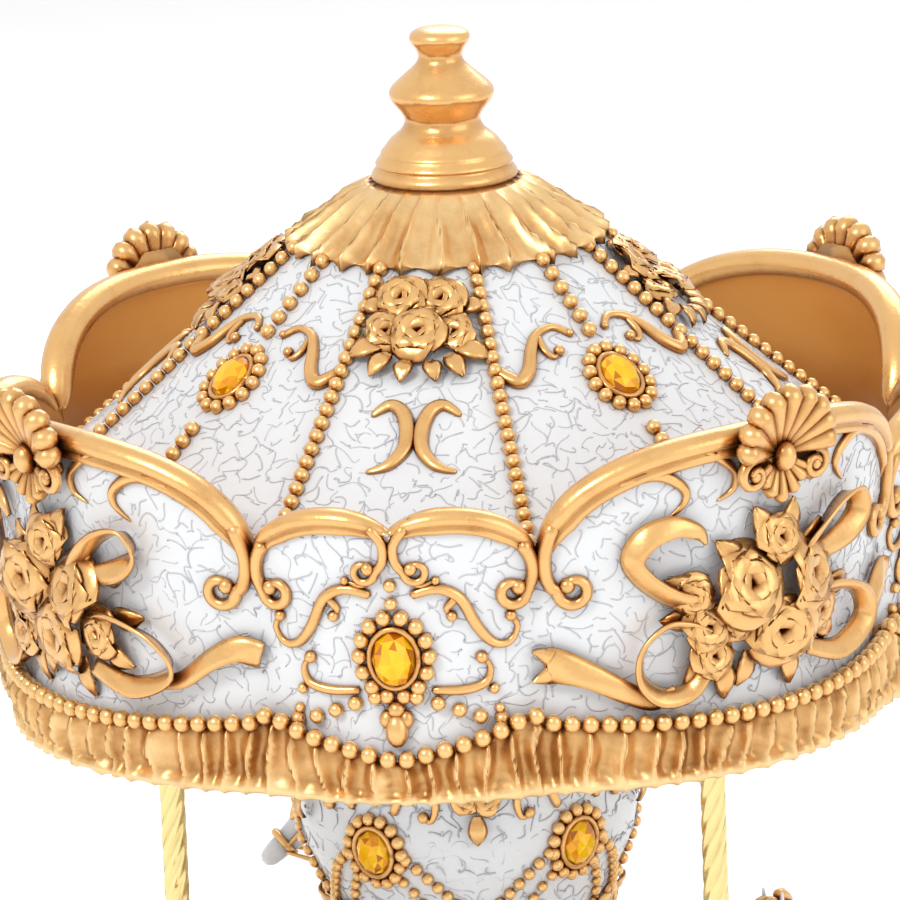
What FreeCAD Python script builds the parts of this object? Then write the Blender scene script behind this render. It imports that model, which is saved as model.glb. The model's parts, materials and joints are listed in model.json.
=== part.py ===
"""Wind-up carousel music box with three horses, about 300 mm tall.

Frame: +Z up, origin at the centre of the circle on which the feet stand, front towards -Y.
Angles round the axis are counted from the front towards +X.
"""
import FreeCAD
import Part
import math
import os

os.makedirs("parts", exist_ok=True)
V = FreeCAD.Vector

# ---- driving dimensions, mm and degrees -------------------------------------------------
FOOT_H = 14.0            # clearance under the base, so the key can be turned
BASE_R = 92.0            # widest radius of the base
DECK_Z = 59.0            # top face of the fixed base
DECK_T = 5.0             # thickness of the base's deck
CAVITY_R = 70.0          # movement chamber
BOTTOM_PLATE_R = 77.0
BOTTOM_PLATE_T = 3.0

RUN = 0.05               # radial clearance of a running fit
GAP = 0.3                # gap between bodies that pass each other

PLATFORM_Z = 60.0        # underside of the turning platform
PLATFORM_T = 8.0
PLATFORM_R = 84.0
CEILING_Z = 170.0        # underside of the canopy, and lip of the fringe
CEILING_T = 3.0
CEILING_R = 84.0

WALL_FOOT_Z = 183.0      # foot of the parapet, top of the fringe
WALL_FOOT_R = 86.5       # outer radius there, at the creases between the bays
WALL_SLOPE = 0.12        # how much the parapet leans out per mm of height
WALL_T = 3.0
RIM_T = 3.4              # height of the rolled moulding on top of the parapet
RIM_PROUD = 1.3          # how far it stands out on both sides
FRINGE_PROUD = 3.0       # how far the fringe stands out from the parapet's foot
PATTERN_TURN = -8.0      # the canopy stands turned by this angle from the front

# A quarter of the canopy is a narrow bay under a double arch and a wide bay under a big arch.
NOTCH_OFF = 17.0         # angle from the middle of a double arch to the crease beside it
SHELL_OFF = 45.0         # angle from the middle of a double arch to a shell
NARROW_BULGE = 3.0       # how far each bay swells out in plan
WIDE_BULGE = 5.0
NOTCH_Z = 216.9
HUMP_Z = 227.2
HUMP_OFF = 6.5
HUMP_INNER_HALF = 8.5    # half widths of a hump, in degrees
HUMP_OUTER_HALF = 10.5
BIG_ARCH_Z = 238.2

DOME_TOP_R = 28.0
DOME_TOP_Z = 259.2
DOME_EDGE_R = 86.0
DOME_EDGE_Z = 209.9
DOME_T = 2.6
SKIRT_TOP_Z = 270.0
FINIAL_TOP_Z = 300.0

POLE_R = 2.5
POLE_CIRCLE_R = 62.0
POLE_ANGLES = {"right": 50.0, "back": 192.0, "left": 290.0}

# spring movement
PLATE_T = 1.6
MODULE_FINE = 0.5
BARREL_R = 12.0
BARREL_TEETH = 36
CONTRATE_R = 11.25       # mean radius of the barrel's crown of teeth
CONTRATE_ADDENDUM = 0.5
PINION_TEETH = 18
CYLINDER_R = 5.8
CYLINDER_X = (15.5, 41.5)
WHEEL_TEETH = 40
GOVERNOR_PINION_TEETH = 10
WORM_WHEEL_TEETH = 20
WORM_R = 1.5
COMB_TEETH = 18
SPINDLE_R = 3.0
BUSH_R = 6.0
ARBOR_R = 2.0
SCREW_R = 1.25

# heights that follow from the ones above
BOTTOM_PLATE_TOP = FOOT_H + BOTTOM_PLATE_T
BEDPLATE_TOP = BOTTOM_PLATE_TOP + PLATE_T
BARREL_Z = BEDPLATE_TOP + 1.0
BARREL_TOP = BARREL_Z + 9.4
CONTRATE_PITCH_Z = BARREL_TOP + 0.6
PINION_R = CONTRATE_R * PINION_TEETH / BARREL_TEETH
CYLINDER_Z = CONTRATE_PITCH_Z + PINION_R
GOVERNOR_Y = MODULE_FINE * (WHEEL_TEETH + GOVERNOR_PINION_TEETH) / 2
WORM_X = 38.5
WORM_Y = GOVERNOR_Y + MODULE_FINE * WORM_WHEEL_TEETH / 2 + WORM_R
WORM_PITCH = math.pi * MODULE_FINE
PLATFORM_TOP = PLATFORM_Z + PLATFORM_T
COLUMN_TOP_R = 34.0
COLUMN_GEM_Z = 141.0
COLUMN_GEMS = 5


# ---- helpers --------------------------------------------------------------------------
def save(name, solids):
    """Writes one node; a list of solids becomes one group."""
    shape = solids
    if isinstance(solids, list):
        shape = Part.makeCompound(solids)
    print(name, len(shape.Solids), shape.isValid(), round(shape.Volume, 1))
    shape.exportStep("parts/" + name + ".step")


def polar(radius, angle, z):
    """Point at an angle counted from the front towards +X."""
    turn = math.radians(angle)
    return V(radius * math.sin(turn), -radius * math.cos(turn), z)


def about_axis(shape, angle):
    """Copy turned about the main axis, so that what faced the front faces the angle."""
    copy = shape.copy()
    copy.rotate(V(0, 0, 0), V(0, 0, 1), angle)
    return copy


def lathe(profile):
    """Solid of revolution about Z from (radius, z) points."""
    points = [V(r, 0, z) for r, z in profile]
    face = Part.Face(Part.makePolygon(points + points[:1]))
    return face.revolve(V(0, 0, 0), V(0, 0, 1), 360)


def rod(radius, start, end):
    """Cylinder from one point to another."""
    axis = end - start
    return Part.makeCylinder(radius, axis.Length, start, axis)


def upright(radius, z0, z1, x=0.0, y=0.0):
    return rod(radius, V(x, y, z0), V(x, y, z1))


def block(x0, x1, y0, y1, z0, z1):
    return Part.makeBox(x1 - x0, y1 - y0, z1 - z0, V(x0, y0, z0))


def limb(start, end, r0, r1):
    """Tapered rod with round ends."""
    axis = end - start
    ends = [Part.makeSphere(r0, start), Part.makeSphere(r1, end)]
    return Part.makeCone(r0, r1, axis.Length, start, axis).multiFuse(ends)


def from_double_arch(off):
    """Angle to the nearest middle of a double arch, 0 to 45."""
    return abs((off + 45.0) % 90.0 - 45.0)


def bulge(off):
    """How far a bay swells out at an angle off the pattern's start."""
    angle = from_double_arch(off)
    if angle < NOTCH_OFF:
        return NARROW_BULGE * math.cos(math.pi / 2 * angle / NOTCH_OFF)
    return WIDE_BULGE * math.sin(math.pi / 2 * (angle - NOTCH_OFF) / (SHELL_OFF - NOTCH_OFF))


def crest_z(off):
    """Height of the parapet's crest, moulding included."""
    angle = from_double_arch(off)
    if angle < NOTCH_OFF:
        aside = angle - HUMP_OFF
        half = HUMP_OUTER_HALF if aside > 0 else HUMP_INNER_HALF
        return NOTCH_Z + (HUMP_Z - NOTCH_Z) * math.sqrt(max(0.0, 1 - (aside / half) ** 2))
    share = (angle - NOTCH_OFF) / (SHELL_OFF - NOTCH_OFF)
    return NOTCH_Z + (BIG_ARCH_Z - NOTCH_Z) * math.sqrt(max(0.0, 1 - (1 - share) ** 2.6))


def wall_radius(z, off):
    """Outer radius of the parapet at a height and an angle."""
    return WALL_FOOT_R + (z - WALL_FOOT_Z) * WALL_SLOPE + bulge(off)


def dome_radius(z):
    """Outer radius of the dome at a height."""
    share = (DOME_TOP_Z - z) / (DOME_TOP_Z - DOME_EDGE_Z)
    return DOME_TOP_R + (DOME_EDGE_R - DOME_TOP_R) * share


def screw(x, y, z_tip, z_seat, head_r=2.4, head_h=1.5):
    """Screw with a slotted pan head on top."""
    z_top = z_seat + head_h
    head = upright(head_r, z_seat, z_top, x, y)
    slot = block(x - head_r, x + head_r, y - 0.35, y + 0.35, z_top - 0.6, z_top)
    return upright(SCREW_R, z_tip, z_seat, x, y).fuse(head.cut(slot))


def oval_stone(half_width, half_height, thickness, girdle=0.45):
    """Faceted oval stone facing -Y, its back on y = 0."""
    sections = []
    for scale, depth in ((1.0, 0.0), (1.0, girdle * thickness), (0.62, thickness)):
        ring = [
            V(half_width * scale * math.cos(k * math.pi / 6), -depth, half_height * scale * math.sin(k * math.pi / 6))
            for k in range(12)
        ]
        sections.append(Part.makePolygon(ring + ring[:1]))
    return Part.makeLoft(sections, True, True)


def set_on(shape, radius, angle, z, lean=0.0):
    """Moves a piece that faces -Y onto a round surface; lean tips its top outwards."""
    piece = shape.copy()
    piece.rotate(V(0, 0, 0), V(1, 0, 0), lean)
    piece.translate(V(0, -radius, z))
    return about_axis(piece, angle)


# ---- gears ----------------------------------------------------------------------------
def gear(teeth, width, bore_r, thin=0.16, addendum=0.85, dedendum=1.2):
    """Spur gear with involute flanks about Z, a tooth at angle 0, z from 0 to width."""
    pitch_r = MODULE_FINE * teeth / 2
    base_r = pitch_r * math.cos(math.radians(20))
    root_r = pitch_r - dedendum * MODULE_FINE
    tip_r = pitch_r + addendum * MODULE_FINE
    half = math.pi / (2 * teeth) - thin / (2 * pitch_r)
    inv_pitch = math.tan(math.radians(20)) - math.radians(20)

    def flank_angle(radius):
        pressure = math.acos(min(1.0, base_r / radius))
        return half + inv_pitch - (math.tan(pressure) - pressure)

    start_r = max(base_r, root_r)
    radii = [root_r] + [start_r + (tip_r - start_r) * k / 4 for k in range(5)]
    points = []
    for k in range(teeth):
        middle = 2 * math.pi * k / teeth
        rising = [(r, middle - flank_angle(max(r, start_r))) for r in radii]
        falling = [(r, middle + flank_angle(max(r, start_r))) for r in reversed(radii)]
        points += rising + falling
    outline = []
    for radius, angle in points:
        point = V(radius * math.cos(angle), radius * math.sin(angle), 0)
        if not outline or (point - outline[-1]).Length > 0.01:
            outline.append(point)
    body = Part.Face(Part.makePolygon(outline + outline[:1])).extrude(V(0, 0, width))
    return body.cut(upright(bore_r, -1, width + 1))


def onto_x(shape, x, y, z, turn):
    """Puts a gear made about Z onto an axis along X; turn is its first tooth's angle from +Y towards +Z."""
    piece = shape.copy()
    piece.rotate(V(0, 0, 0), V(0, 0, 1), turn)
    piece.rotate(V(0, 0, 0), V(0, 1, 0), 90)
    piece.rotate(V(0, 0, 0), V(1, 0, 0), 90)
    piece.translate(V(x, y, z))
    return piece


def contrate_teeth():
    """Crown of radial teeth on the barrel's rim, with a gap at angle 0 on +X."""
    pitch = 2 * math.pi * CONTRATE_R / BARREL_TEETH
    foot = pitch * 0.27
    tip = pitch * 0.11
    low = BARREL_TOP - 0.05
    high = CONTRATE_PITCH_Z + CONTRATE_ADDENDUM
    inner, outer = CONTRATE_R - 0.65, CONTRATE_R + 0.65
    teeth = []
    for k in range(BARREL_TEETH):
        section = [V(inner, -foot, low), V(inner, foot, low), V(inner, tip, high), V(inner, -tip, high)]
        tooth = Part.Face(Part.makePolygon(section + section[:1])).extrude(V(outer - inner, 0, 0))
        tooth.rotate(V(0, 0, 0), V(0, 0, 1), (k + 0.5) * 360.0 / BARREL_TEETH)
        teeth.append(tooth)
    return teeth


# ---- base -------------------------------------------------------------------------------
def base_outline():
    """Moulded outer face of the base, bottom to top."""
    z = FOOT_H
    return [
        (90.0, z), (BASE_R, z + 2), (BASE_R, z + 7), (88.5, z + 10), (85.0, z + 15), (82.5, z + 22),
        (82.0, z + 28), (84.0, z + 35), (88.0, DECK_Z - 7), (88.5, DECK_Z - 3), (86.0, DECK_Z),
    ]


def base_shell():
    inside = [
        (BUSH_R, DECK_Z), (BUSH_R, DECK_Z - DECK_T), (CAVITY_R, DECK_Z - DECK_T), (CAVITY_R, BOTTOM_PLATE_TOP),
        (BOTTOM_PLATE_R + 0.2, BOTTOM_PLATE_TOP), (BOTTOM_PLATE_R + 0.2, FOOT_H),
    ]
    shell = lathe(base_outline() + inside)
    for place in plate_screw_places():
        shell = shell.cut(upright(SCREW_R, BOTTOM_PLATE_TOP - 1, BOTTOM_PLATE_TOP + 9, place.x, place.y))
    return shell


def plate_screw_places():
    return [polar(73.5, 45 + 90 * k, 0) for k in range(4)]


def bedplate_screw_places():
    return [V(-12, -24, 0), V(46, -25.5, 0), V(-12, 26, 0), V(46, 26, 0)]


def bottom_plate():
    plate = upright(BOTTOM_PLATE_R, FOOT_H, BOTTOM_PLATE_TOP)
    holes = [upright(5.0, FOOT_H - 1, BOTTOM_PLATE_TOP + 1)]
    for place in plate_screw_places() + bedplate_screw_places():
        holes.append(upright(SCREW_R, FOOT_H - 1, BOTTOM_PLATE_TOP + 1, place.x, place.y))
    return plate.cut(Part.makeCompound(holes))


def bottom_plate_screws():
    screws = []
    for place in plate_screw_places():
        shank = upright(SCREW_R, FOOT_H, BOTTOM_PLATE_TOP + 9, place.x, place.y)
        screws.append(shank.fuse(upright(2.8, FOOT_H - 1.6, FOOT_H, place.x, place.y)))
    return screws


def feet():
    foot = lathe([(0, 0), (5.5, 0), (7.6, 2.5), (8.0, 6.0), (6.0, 10.5), (6.6, FOOT_H), (0, FOOT_H)])
    placed = []
    for k in range(4):
        centre = polar(84.0, 45 + 90 * k + PATTERN_TURN, 0)
        piece = foot.copy()
        piece.translate(centre)
        placed.append(piece)
    return placed


def base_gems():
    stone = oval_stone(4.5, 6.0, 4.2)
    core = lathe([(0, FOOT_H)] + base_outline() + [(0, DECK_Z)])
    return [set_on(stone, 81.0, PATTERN_TURN + 90 * k, FOOT_H + 26).cut(core) for k in range(4)]


def glide_ring():
    return upright(70.0, DECK_Z, PLATFORM_Z - GAP).cut(upright(60.0, DECK_Z - 1, PLATFORM_Z))


def spindle_bush():
    sleeve = upright(BUSH_R, DECK_Z - DECK_T, DECK_Z + 0.5).fuse(upright(9.0, DECK_Z - DECK_T - 1.5, DECK_Z - DECK_T))
    return sleeve.cut(upright(SPINDLE_R + RUN, DECK_Z - 10, DECK_Z + 2))


# ---- movement ---------------------------------------------------------------------------
def bedplate():
    plate = block(-16, 50, -29, 30, BOTTOM_PLATE_TOP, BEDPLATE_TOP)
    holes = [upright(4.0, BOTTOM_PLATE_TOP - 1, BEDPLATE_TOP + 1)]
    for place in bedplate_screw_places():
        holes.append(upright(SCREW_R, BOTTOM_PLATE_TOP - 1, BEDPLATE_TOP + 1, place.x, place.y))
    return plate.cut(Part.makeCompound(holes))


def bedplate_screws():
    return [screw(p.x, p.y, FOOT_H + 0.2, BEDPLATE_TOP) for p in bedplate_screw_places()]


def arbor_bush():
    sleeve = upright(4.0, BOTTOM_PLATE_TOP, BARREL_Z - GAP)
    return sleeve.cut(upright(ARBOR_R + RUN, FOOT_H, BARREL_Z + 1))


def clutch_spring():
    """Coil that grips the arbor, so that it turns one way only; three turns of wire."""
    turns = [Part.makeTorus(ARBOR_R + 0.45, 0.35, V(0, 0, FOOT_H + 0.6 + 0.68 * k)) for k in range(4)]
    return turns[0].multiFuse(turns[1:])


def winding_arbor():
    stem = upright(ARBOR_R, FOOT_H - 9.0, BARREL_TOP - 2.0)
    return stem


def winding_key():
    """Butterfly key under the base: a hub and two pierced wings."""
    hub = upright(3.6, FOOT_H - 10.5, FOOT_H - 0.8)
    wings = []
    for side in (-1, 1):
        centre = V(side * 9.4, 1.1, FOOT_H - 6.6)
        wing = Part.makeCylinder(5.8, 2.2, centre, V(0, -1, 0))
        wing = wing.fuse(block(min(side * 2, side * 7), max(side * 2, side * 7), -1.1, 1.1, FOOT_H - 9.2, FOOT_H - 4.0))
        hole = Part.makeCylinder(3.0, 4.2, centre + V(side * 0.8, 1, 0), V(0, -1, 0))
        wings.append(wing.cut(hole))
    return hub.multiFuse(wings).cut(upright(ARBOR_R, FOOT_H - 9.0, FOOT_H + 1))


def spring_barrel():
    drum = upright(BARREL_R, BARREL_Z, BARREL_TOP).cut(upright(BARREL_R - 1.0, BARREL_Z + 0.8, BARREL_TOP + 1))
    drum = drum.cut(upright(ARBOR_R + RUN, BARREL_Z - 1, BARREL_Z + 2))
    rim = upright(BARREL_R, BARREL_TOP - 1.2, BARREL_TOP).cut(upright(BARREL_R - 1.5, BARREL_TOP - 2, BARREL_TOP + 1))
    return drum.fuse(rim).multiFuse(contrate_teeth())


def barrel_cap():
    return upright(BARREL_R - 1.5, BARREL_TOP - 1.2, BARREL_TOP)


def mainspring():
    """Flat spiral from near the arbor to the barrel's wall."""
    turns, inner, outer, thick = 7, ARBOR_R + 0.5, BARREL_R - 1.6, 0.25
    steps = turns * 8
    sides = []
    for offset in (0.0, thick):
        points = []
        for k in range(steps + 1):
            angle = 2 * math.pi * turns * k / steps
            radius = inner + (outer - inner) * k / steps + offset
            points.append(V(radius * math.cos(angle), radius * math.sin(angle), BARREL_Z + 1.2))
        curve = Part.BSplineCurve()
        curve.interpolate(points)
        sides.append(curve.toShape())
    first, second = sides
    caps = [
        Part.LineSegment(first.Vertexes[0].Point, second.Vertexes[0].Point).toShape(),
        Part.LineSegment(first.Vertexes[1].Point, second.Vertexes[1].Point).toShape(),
    ]
    wire = Part.Wire(Part.__sortEdges__([first, caps[1], second, caps[0]]))
    return Part.Face(wire).extrude(V(0, 0, 6.2))


def spindle():
    flange = upright(6.0, BARREL_TOP, BARREL_TOP + 1.5)
    return upright(SPINDLE_R, BARREL_TOP, PLATFORM_TOP + 4).fuse(flange)


def cylinder_shaft():
    return rod(0.8, V(9.6, 0, CYLINDER_Z), V(47.4, 0, CYLINDER_Z))


def cylinder_drum():
    drum = rod(CYLINDER_R, V(CYLINDER_X[0], 0, CYLINDER_Z), V(CYLINDER_X[1], 0, CYLINDER_Z))
    return drum.cut(rod(0.8, V(0, 0, CYLINDER_Z), V(60, 0, CYLINDER_Z)))


def comb_track(k):
    """Place along X of one track of pins and its tooth."""
    span = CYLINDER_X[1] - CYLINDER_X[0] - 2.0
    return CYLINDER_X[0] + 1.0 + span * (k + 0.5) / COMB_TEETH


def cylinder_pins():
    pins = []
    for track in range(COMB_TEETH):
        for beat in range(3):
            angle = math.radians(137.5 * track + 120 * beat + 31 * (track % 4))
            out = V(0, math.cos(angle), math.sin(angle))
            centre = V(comb_track(track), 0, CYLINDER_Z)
            pins.append(rod(0.2, centre + out * CYLINDER_R, centre + out * (CYLINDER_R + 0.7)))
    return pins


def cylinder_pinion():
    """Its teeth point straight down into a gap of the barrel's crown."""
    teeth_module = 2 * PINION_R / PINION_TEETH
    blank = gear(PINION_TEETH, 1.5, 0.8 * MODULE_FINE / teeth_module, thin=0.22, addendum=0.75)
    scale = teeth_module / MODULE_FINE
    grown = FreeCAD.Matrix()
    grown.scale(scale, scale, 1.0)
    return onto_x(blank.transformGeometry(grown), 10.5, 0, CYLINDER_Z, -90)


def cylinder_wheel():
    return onto_x(gear(WHEEL_TEETH, 1.5, 0.8), 42.3, 0, CYLINDER_Z, 0)


def bracket(x0, x1, y0, y1, top, bores):
    plate = block(x0, x1, y0, y1, BEDPLATE_TOP, top)
    for y in bores:
        plate = plate.cut(rod(0.8 + RUN, V(x0 - 1, y, CYLINDER_Z), V(x1 + 1, y, CYLINDER_Z)))
    return plate


def comb():
    """Steel comb: one tooth per track, longer teeth for the lower notes."""
    tip_y, z0 = -(CYLINDER_R + 0.7 + 0.35), CYLINDER_Z - 0.4
    plate_y = -24.5
    solid = block(CYLINDER_X[0], CYLINDER_X[1], -28.5, plate_y + 0.5, z0, z0 + 0.8)
    span = (CYLINDER_X[1] - CYLINDER_X[0] - 2.0) / COMB_TEETH
    teeth = []
    for k in range(COMB_TEETH):
        x = comb_track(k)
        root = plate_y + 1.0 + 6.0 * k / COMB_TEETH
        teeth.append(block(x - span * 0.38, x + span * 0.38, root - 0.2, tip_y, z0, z0 + 0.8))
        teeth.append(block(x - span * 0.5, x + span * 0.5, plate_y, root, z0, z0 + 0.8))
    solid = solid.multiFuse(teeth).removeSplitter()
    for x in (20.0, 37.0):
        solid = solid.cut(upright(SCREW_R, z0 - 1, z0 + 2, x, -26.5))
    return solid


def comb_block():
    solid = block(CYLINDER_X[0], CYLINDER_X[1], -28.5, -24.5, BEDPLATE_TOP, CYLINDER_Z - 0.4)
    for x in (20.0, 37.0):
        solid = solid.cut(upright(SCREW_R, BEDPLATE_TOP + 6, CYLINDER_Z, x, -26.5))
    return solid


def comb_screws():
    return [screw(x, -26.5, BEDPLATE_TOP + 6.2, CYLINDER_Z + 0.4, head_r=2.0) for x in (20.0, 37.0)]


def governor_arbor():
    return rod(0.8, V(32.4, GOVERNOR_Y, CYLINDER_Z), V(47.4, GOVERNOR_Y, CYLINDER_Z))


def governor_pinion():
    half_tooth = 180.0 / GOVERNOR_PINION_TEETH
    return onto_x(gear(GOVERNOR_PINION_TEETH, 1.7, 0.8), 42.2, GOVERNOR_Y, CYLINDER_Z, 180 + half_tooth)


def worm_wheel():
    wheel = gear(WORM_WHEEL_TEETH, 1.0, 0.8, thin=0.34, addendum=0.7)
    return onto_x(wheel, WORM_X - 0.5, GOVERNOR_Y, CYLINDER_Z, 0)


def worm():
    """Single-start worm on its upright arbor; a gap of the thread faces the worm wheel's tooth."""
    start = CYLINDER_Z - 0.25 * WORM_PITCH - 3 * WORM_PITCH
    height = 6 * WORM_PITCH
    root_r, tip_r = WORM_R - 0.55, WORM_R + 0.35
    helix = Part.makeHelix(WORM_PITCH, height, root_r - 0.1)
    wide, narrow = 0.20 * WORM_PITCH, 0.10 * WORM_PITCH
    section = [V(root_r - 0.1, 0, -wide), V(tip_r, 0, -narrow), V(tip_r, 0, narrow), V(root_r - 0.1, 0, wide)]
    profile = Part.makePolygon(section + section[:1])
    thread = Part.Wire(helix.Edges).makePipeShell([profile], True, True)
    thread.translate(V(0, 0, start))
    core = upright(root_r, start - 1.2, start + height + 1.0)
    arbor = upright(0.5, BEDPLATE_TOP + 1.6, CYLINDER_Z + 13.6)
    solid = core.fuse(arbor).fuse(thread)
    solid.translate(V(WORM_X, WORM_Y, 0))
    return solid


def fly():
    """Two-bladed air brake on the worm's arbor."""
    low = CYLINDER_Z + 7.0
    hub = upright(1.2, low, low + 4.5, WORM_X, WORM_Y)
    vanes = block(WORM_X - 5.2, WORM_X + 5.2, WORM_Y - 0.25, WORM_Y + 0.25, low + 0.3, low + 4.2)
    return hub.fuse(vanes).cut(upright(0.5, low - 1, low + 6, WORM_X, WORM_Y))


def governor_bracket():
    """Post with two arms that carry the worm's arbor."""
    top = CYLINDER_Z + 14.0
    parts = [
        block(WORM_X - 2.5, WORM_X + 2.5, WORM_Y + 5.8, WORM_Y + 7.2, BEDPLATE_TOP, top),
        block(WORM_X - 2.5, WORM_X + 2.5, WORM_Y - 2.0, WORM_Y + 6.5, top - 1.6, top),
        block(WORM_X - 2.5, WORM_X + 2.5, WORM_Y - 2.0, WORM_Y + 6.5, BEDPLATE_TOP, BEDPLATE_TOP + 3.0),
    ]
    solid = parts[0].multiFuse(parts[1:]).removeSplitter()
    return solid.cut(upright(0.5 + RUN, BEDPLATE_TOP + 1.4, top - 0.3, WORM_X, WORM_Y))


# ---- turning stage ----------------------------------------------------------------------
def hub_screw_places():
    return [polar(12.0, 120 * k, 0) for k in range(3)]


def platform():
    z0, z1 = PLATFORM_Z, PLATFORM_TOP
    disc = lathe([(0, z0), (80.0, z0), (PLATFORM_R - 1, z0 + 1.5), (PLATFORM_R, z0 + 3.5), (PLATFORM_R, z1 - 2.5),
                  (PLATFORM_R - 1.5, z1 - 0.4), (PLATFORM_R - 3.5, z1), (0, z1)])
    holes = [upright(8.0, z0 - 1, z1 + 1)]
    holes += [upright(SCREW_R, z1 - 6, z1 + 1, p.x, p.y) for p in hub_screw_places()]
    return disc.cut(Part.makeCompound(holes))


def platform_hub():
    hub = upright(8.0, PLATFORM_Z + 0.2, PLATFORM_TOP).fuse(upright(16.0, PLATFORM_TOP, PLATFORM_TOP + 2))
    holes = [upright(SPINDLE_R, PLATFORM_Z - 1, PLATFORM_TOP + 3)]
    holes += [upright(SCREW_R, PLATFORM_TOP - 1, PLATFORM_TOP + 3, p.x, p.y) for p in hub_screw_places()]
    return hub.cut(Part.makeCompound(holes))


def hub_screws():
    return [screw(p.x, p.y, PLATFORM_TOP - 5.8, PLATFORM_TOP + 2) for p in hub_screw_places()]


def column():
    z0, z1 = PLATFORM_TOP, CEILING_Z
    outline = [(18, z0), (33, z0), (33, z0 + 3), (30.5, z0 + 6), (29, z0 + 12), (24, z0 + 24), (21.5, z0 + 34),
               (21.5, z0 + 42), (24, z0 + 50), (29, z0 + 60), (33, z0 + 69), (COLUMN_TOP_R, z0 + 75),
               (COLUMN_TOP_R, z1), (18, z1)]
    return lathe(outline)


def column_gem_places():
    return [2.5 + 36.0 + 72.0 * k for k in range(COLUMN_GEMS)]


def column_gems():
    stone = oval_stone(4.0, 4.8, 3.0)
    core = lathe([(0, COLUMN_GEM_Z - 12), (30.0, COLUMN_GEM_Z - 12), (33.0, COLUMN_GEM_Z - 4),
                  (COLUMN_TOP_R, COLUMN_GEM_Z + 2), (COLUMN_TOP_R, COLUMN_GEM_Z + 12), (0, COLUMN_GEM_Z + 12)])
    return [set_on(stone, 33.2, a, COLUMN_GEM_Z).cut(core) for a in column_gem_places()]


def tie_rod():
    return upright(2.0, PLATFORM_TOP + 4, SKIRT_TOP_Z + 5)


def tie_nuts():
    nuts = []
    for z in (PLATFORM_TOP + 4.5, CEILING_Z + CEILING_T):
        corners = [V(4.0 * math.cos(k * math.pi / 3), 4.0 * math.sin(k * math.pi / 3), z) for k in range(6)]
        nut = Part.Face(Part.makePolygon(corners + corners[:1])).extrude(V(0, 0, 3.2))
        nuts.append(nut.cut(upright(2.0, z - 1, z + 5)))
    return nuts


def pole(angle):
    foot = polar(POLE_CIRCLE_R, angle, PLATFORM_TOP)
    return rod(POLE_R, foot, foot + V(0, 0, CEILING_Z - PLATFORM_TOP))


# Key points of a horse: forward, sideways and up from where its pole meets the platform.
HORSE_BACK_Z = 36.0
HORSE_LEGS = (
    ((11, 4.0, 29), (19, 4.5, 23), (17, 4.0, 13), 3.6, 2.0, 1.8),
    ((10, -4.0, 28), (16, -4.5, 17), (22, -4.0, 8), 3.6, 2.0, 1.8),
    ((-13, 4.5, 29), (-19, 4.5, 18), (-15, 4.5, 7), 4.4, 2.2, 1.9),
    ((-14, -4.5, 29), (-22, -4.5, 20), (-21, -4.5, 9), 4.4, 2.2, 1.9),
)


def horse(angle):
    """Leaping horse on its pole, facing the way the carousel turns."""
    limbs = [
        limb(V(-12, 0, HORSE_BACK_Z), V(9, 0, HORSE_BACK_Z), 8.0, 7.6),
        limb(V(11, 0, HORSE_BACK_Z + 1), V(19, 0, 54), 6.6, 3.9),
        limb(V(19.5, 0, 55.5), V(29.5, 0, 47.5), 4.0, 2.5),
        limb(V(18.5, 2.0, 57), V(18.0, 2.6, 61.5), 1.3, 0.6),
        limb(V(18.5, -2.0, 57), V(18.0, -2.6, 61.5), 1.3, 0.6),
        limb(V(-18, 0, 39), V(-25, 0, 33), 2.6, 3.0),
        limb(V(-25, 0, 33), V(-27, 0, 20), 3.0, 1.4),
    ]
    for top, knee, hoof, r_top, r_knee, r_hoof in HORSE_LEGS:
        limbs.append(limb(V(*top), V(*knee), r_top, r_knee))
        limbs.append(limb(V(*knee), V(*hoof), r_knee, r_hoof))
    body = limbs[0].multiFuse(limbs[1:])
    body = body.cut(upright(POLE_R, -1, 80))
    body.rotate(V(0, 0, 0), V(0, 0, 1), angle)
    body.translate(polar(POLE_CIRCLE_R, angle, PLATFORM_TOP))
    return body


# ---- canopy -----------------------------------------------------------------------------
def canopy_ceiling():
    disc = upright(CEILING_R, CEILING_Z, CEILING_Z + CEILING_T)
    return disc.cut(upright(2.0, CEILING_Z - 1, CEILING_Z + CEILING_T + 1))


# Stretches of a quarter between its sharp corners: two humps and a big arch.
STRETCHES = ((-NOTCH_OFF, 0.0), (0.0, NOTCH_OFF), (NOTCH_OFF, 90.0 - NOTCH_OFF))


def stretch_angles(start, end):
    """Angles along one stretch, closer together where the crest is steep."""
    steps = 12 if end - start < 20 else 28
    angles = []
    for k in range(steps + 1):
        share = k / steps
        if start < 0:
            eased = 1 - math.cos(math.pi / 2 * share)
        elif start == 0:
            eased = math.sin(math.pi / 2 * share)
        else:
            eased = (1 - math.cos(math.pi * share)) / 2
        angles.append(start + (end - start) * eased)
    return angles


def edge_curve(turn, angles, height, inset):
    """Curve round the parapet at the height that height(angle) gives."""
    points = [polar(wall_radius(height(off), off) - inset, turn + off, height(off)) for off in angles]
    curve = Part.BSplineCurve()
    curve.interpolate(points)
    return curve.toShape()


def bayed_ring(low, high, inset_out, inset_in):
    """Closed ring that follows the bays, between two height functions and two insets."""
    faces = []
    for quarter in range(4):
        turn = PATTERN_TURN + 90 * quarter
        for start, end in STRETCHES:
            angles = stretch_angles(start, end)
            low_out = edge_curve(turn, angles, low, inset_out)
            low_in = edge_curve(turn, angles, low, inset_in)
            high_out = edge_curve(turn, angles, high, inset_out)
            high_in = edge_curve(turn, angles, high, inset_in)
            for first, second in ((low_out, high_out), (low_in, high_in), (high_out, high_in), (low_out, low_in)):
                faces.append(Part.makeRuledSurface(first, second))
    sewn = Part.makeCompound(faces)
    sewn.sewShape(0.01)
    solid = Part.Solid(sewn.Shells[0])
    if solid.Volume < 0:
        solid.reverse()
    return solid


def level(z):
    return lambda off: z


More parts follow.
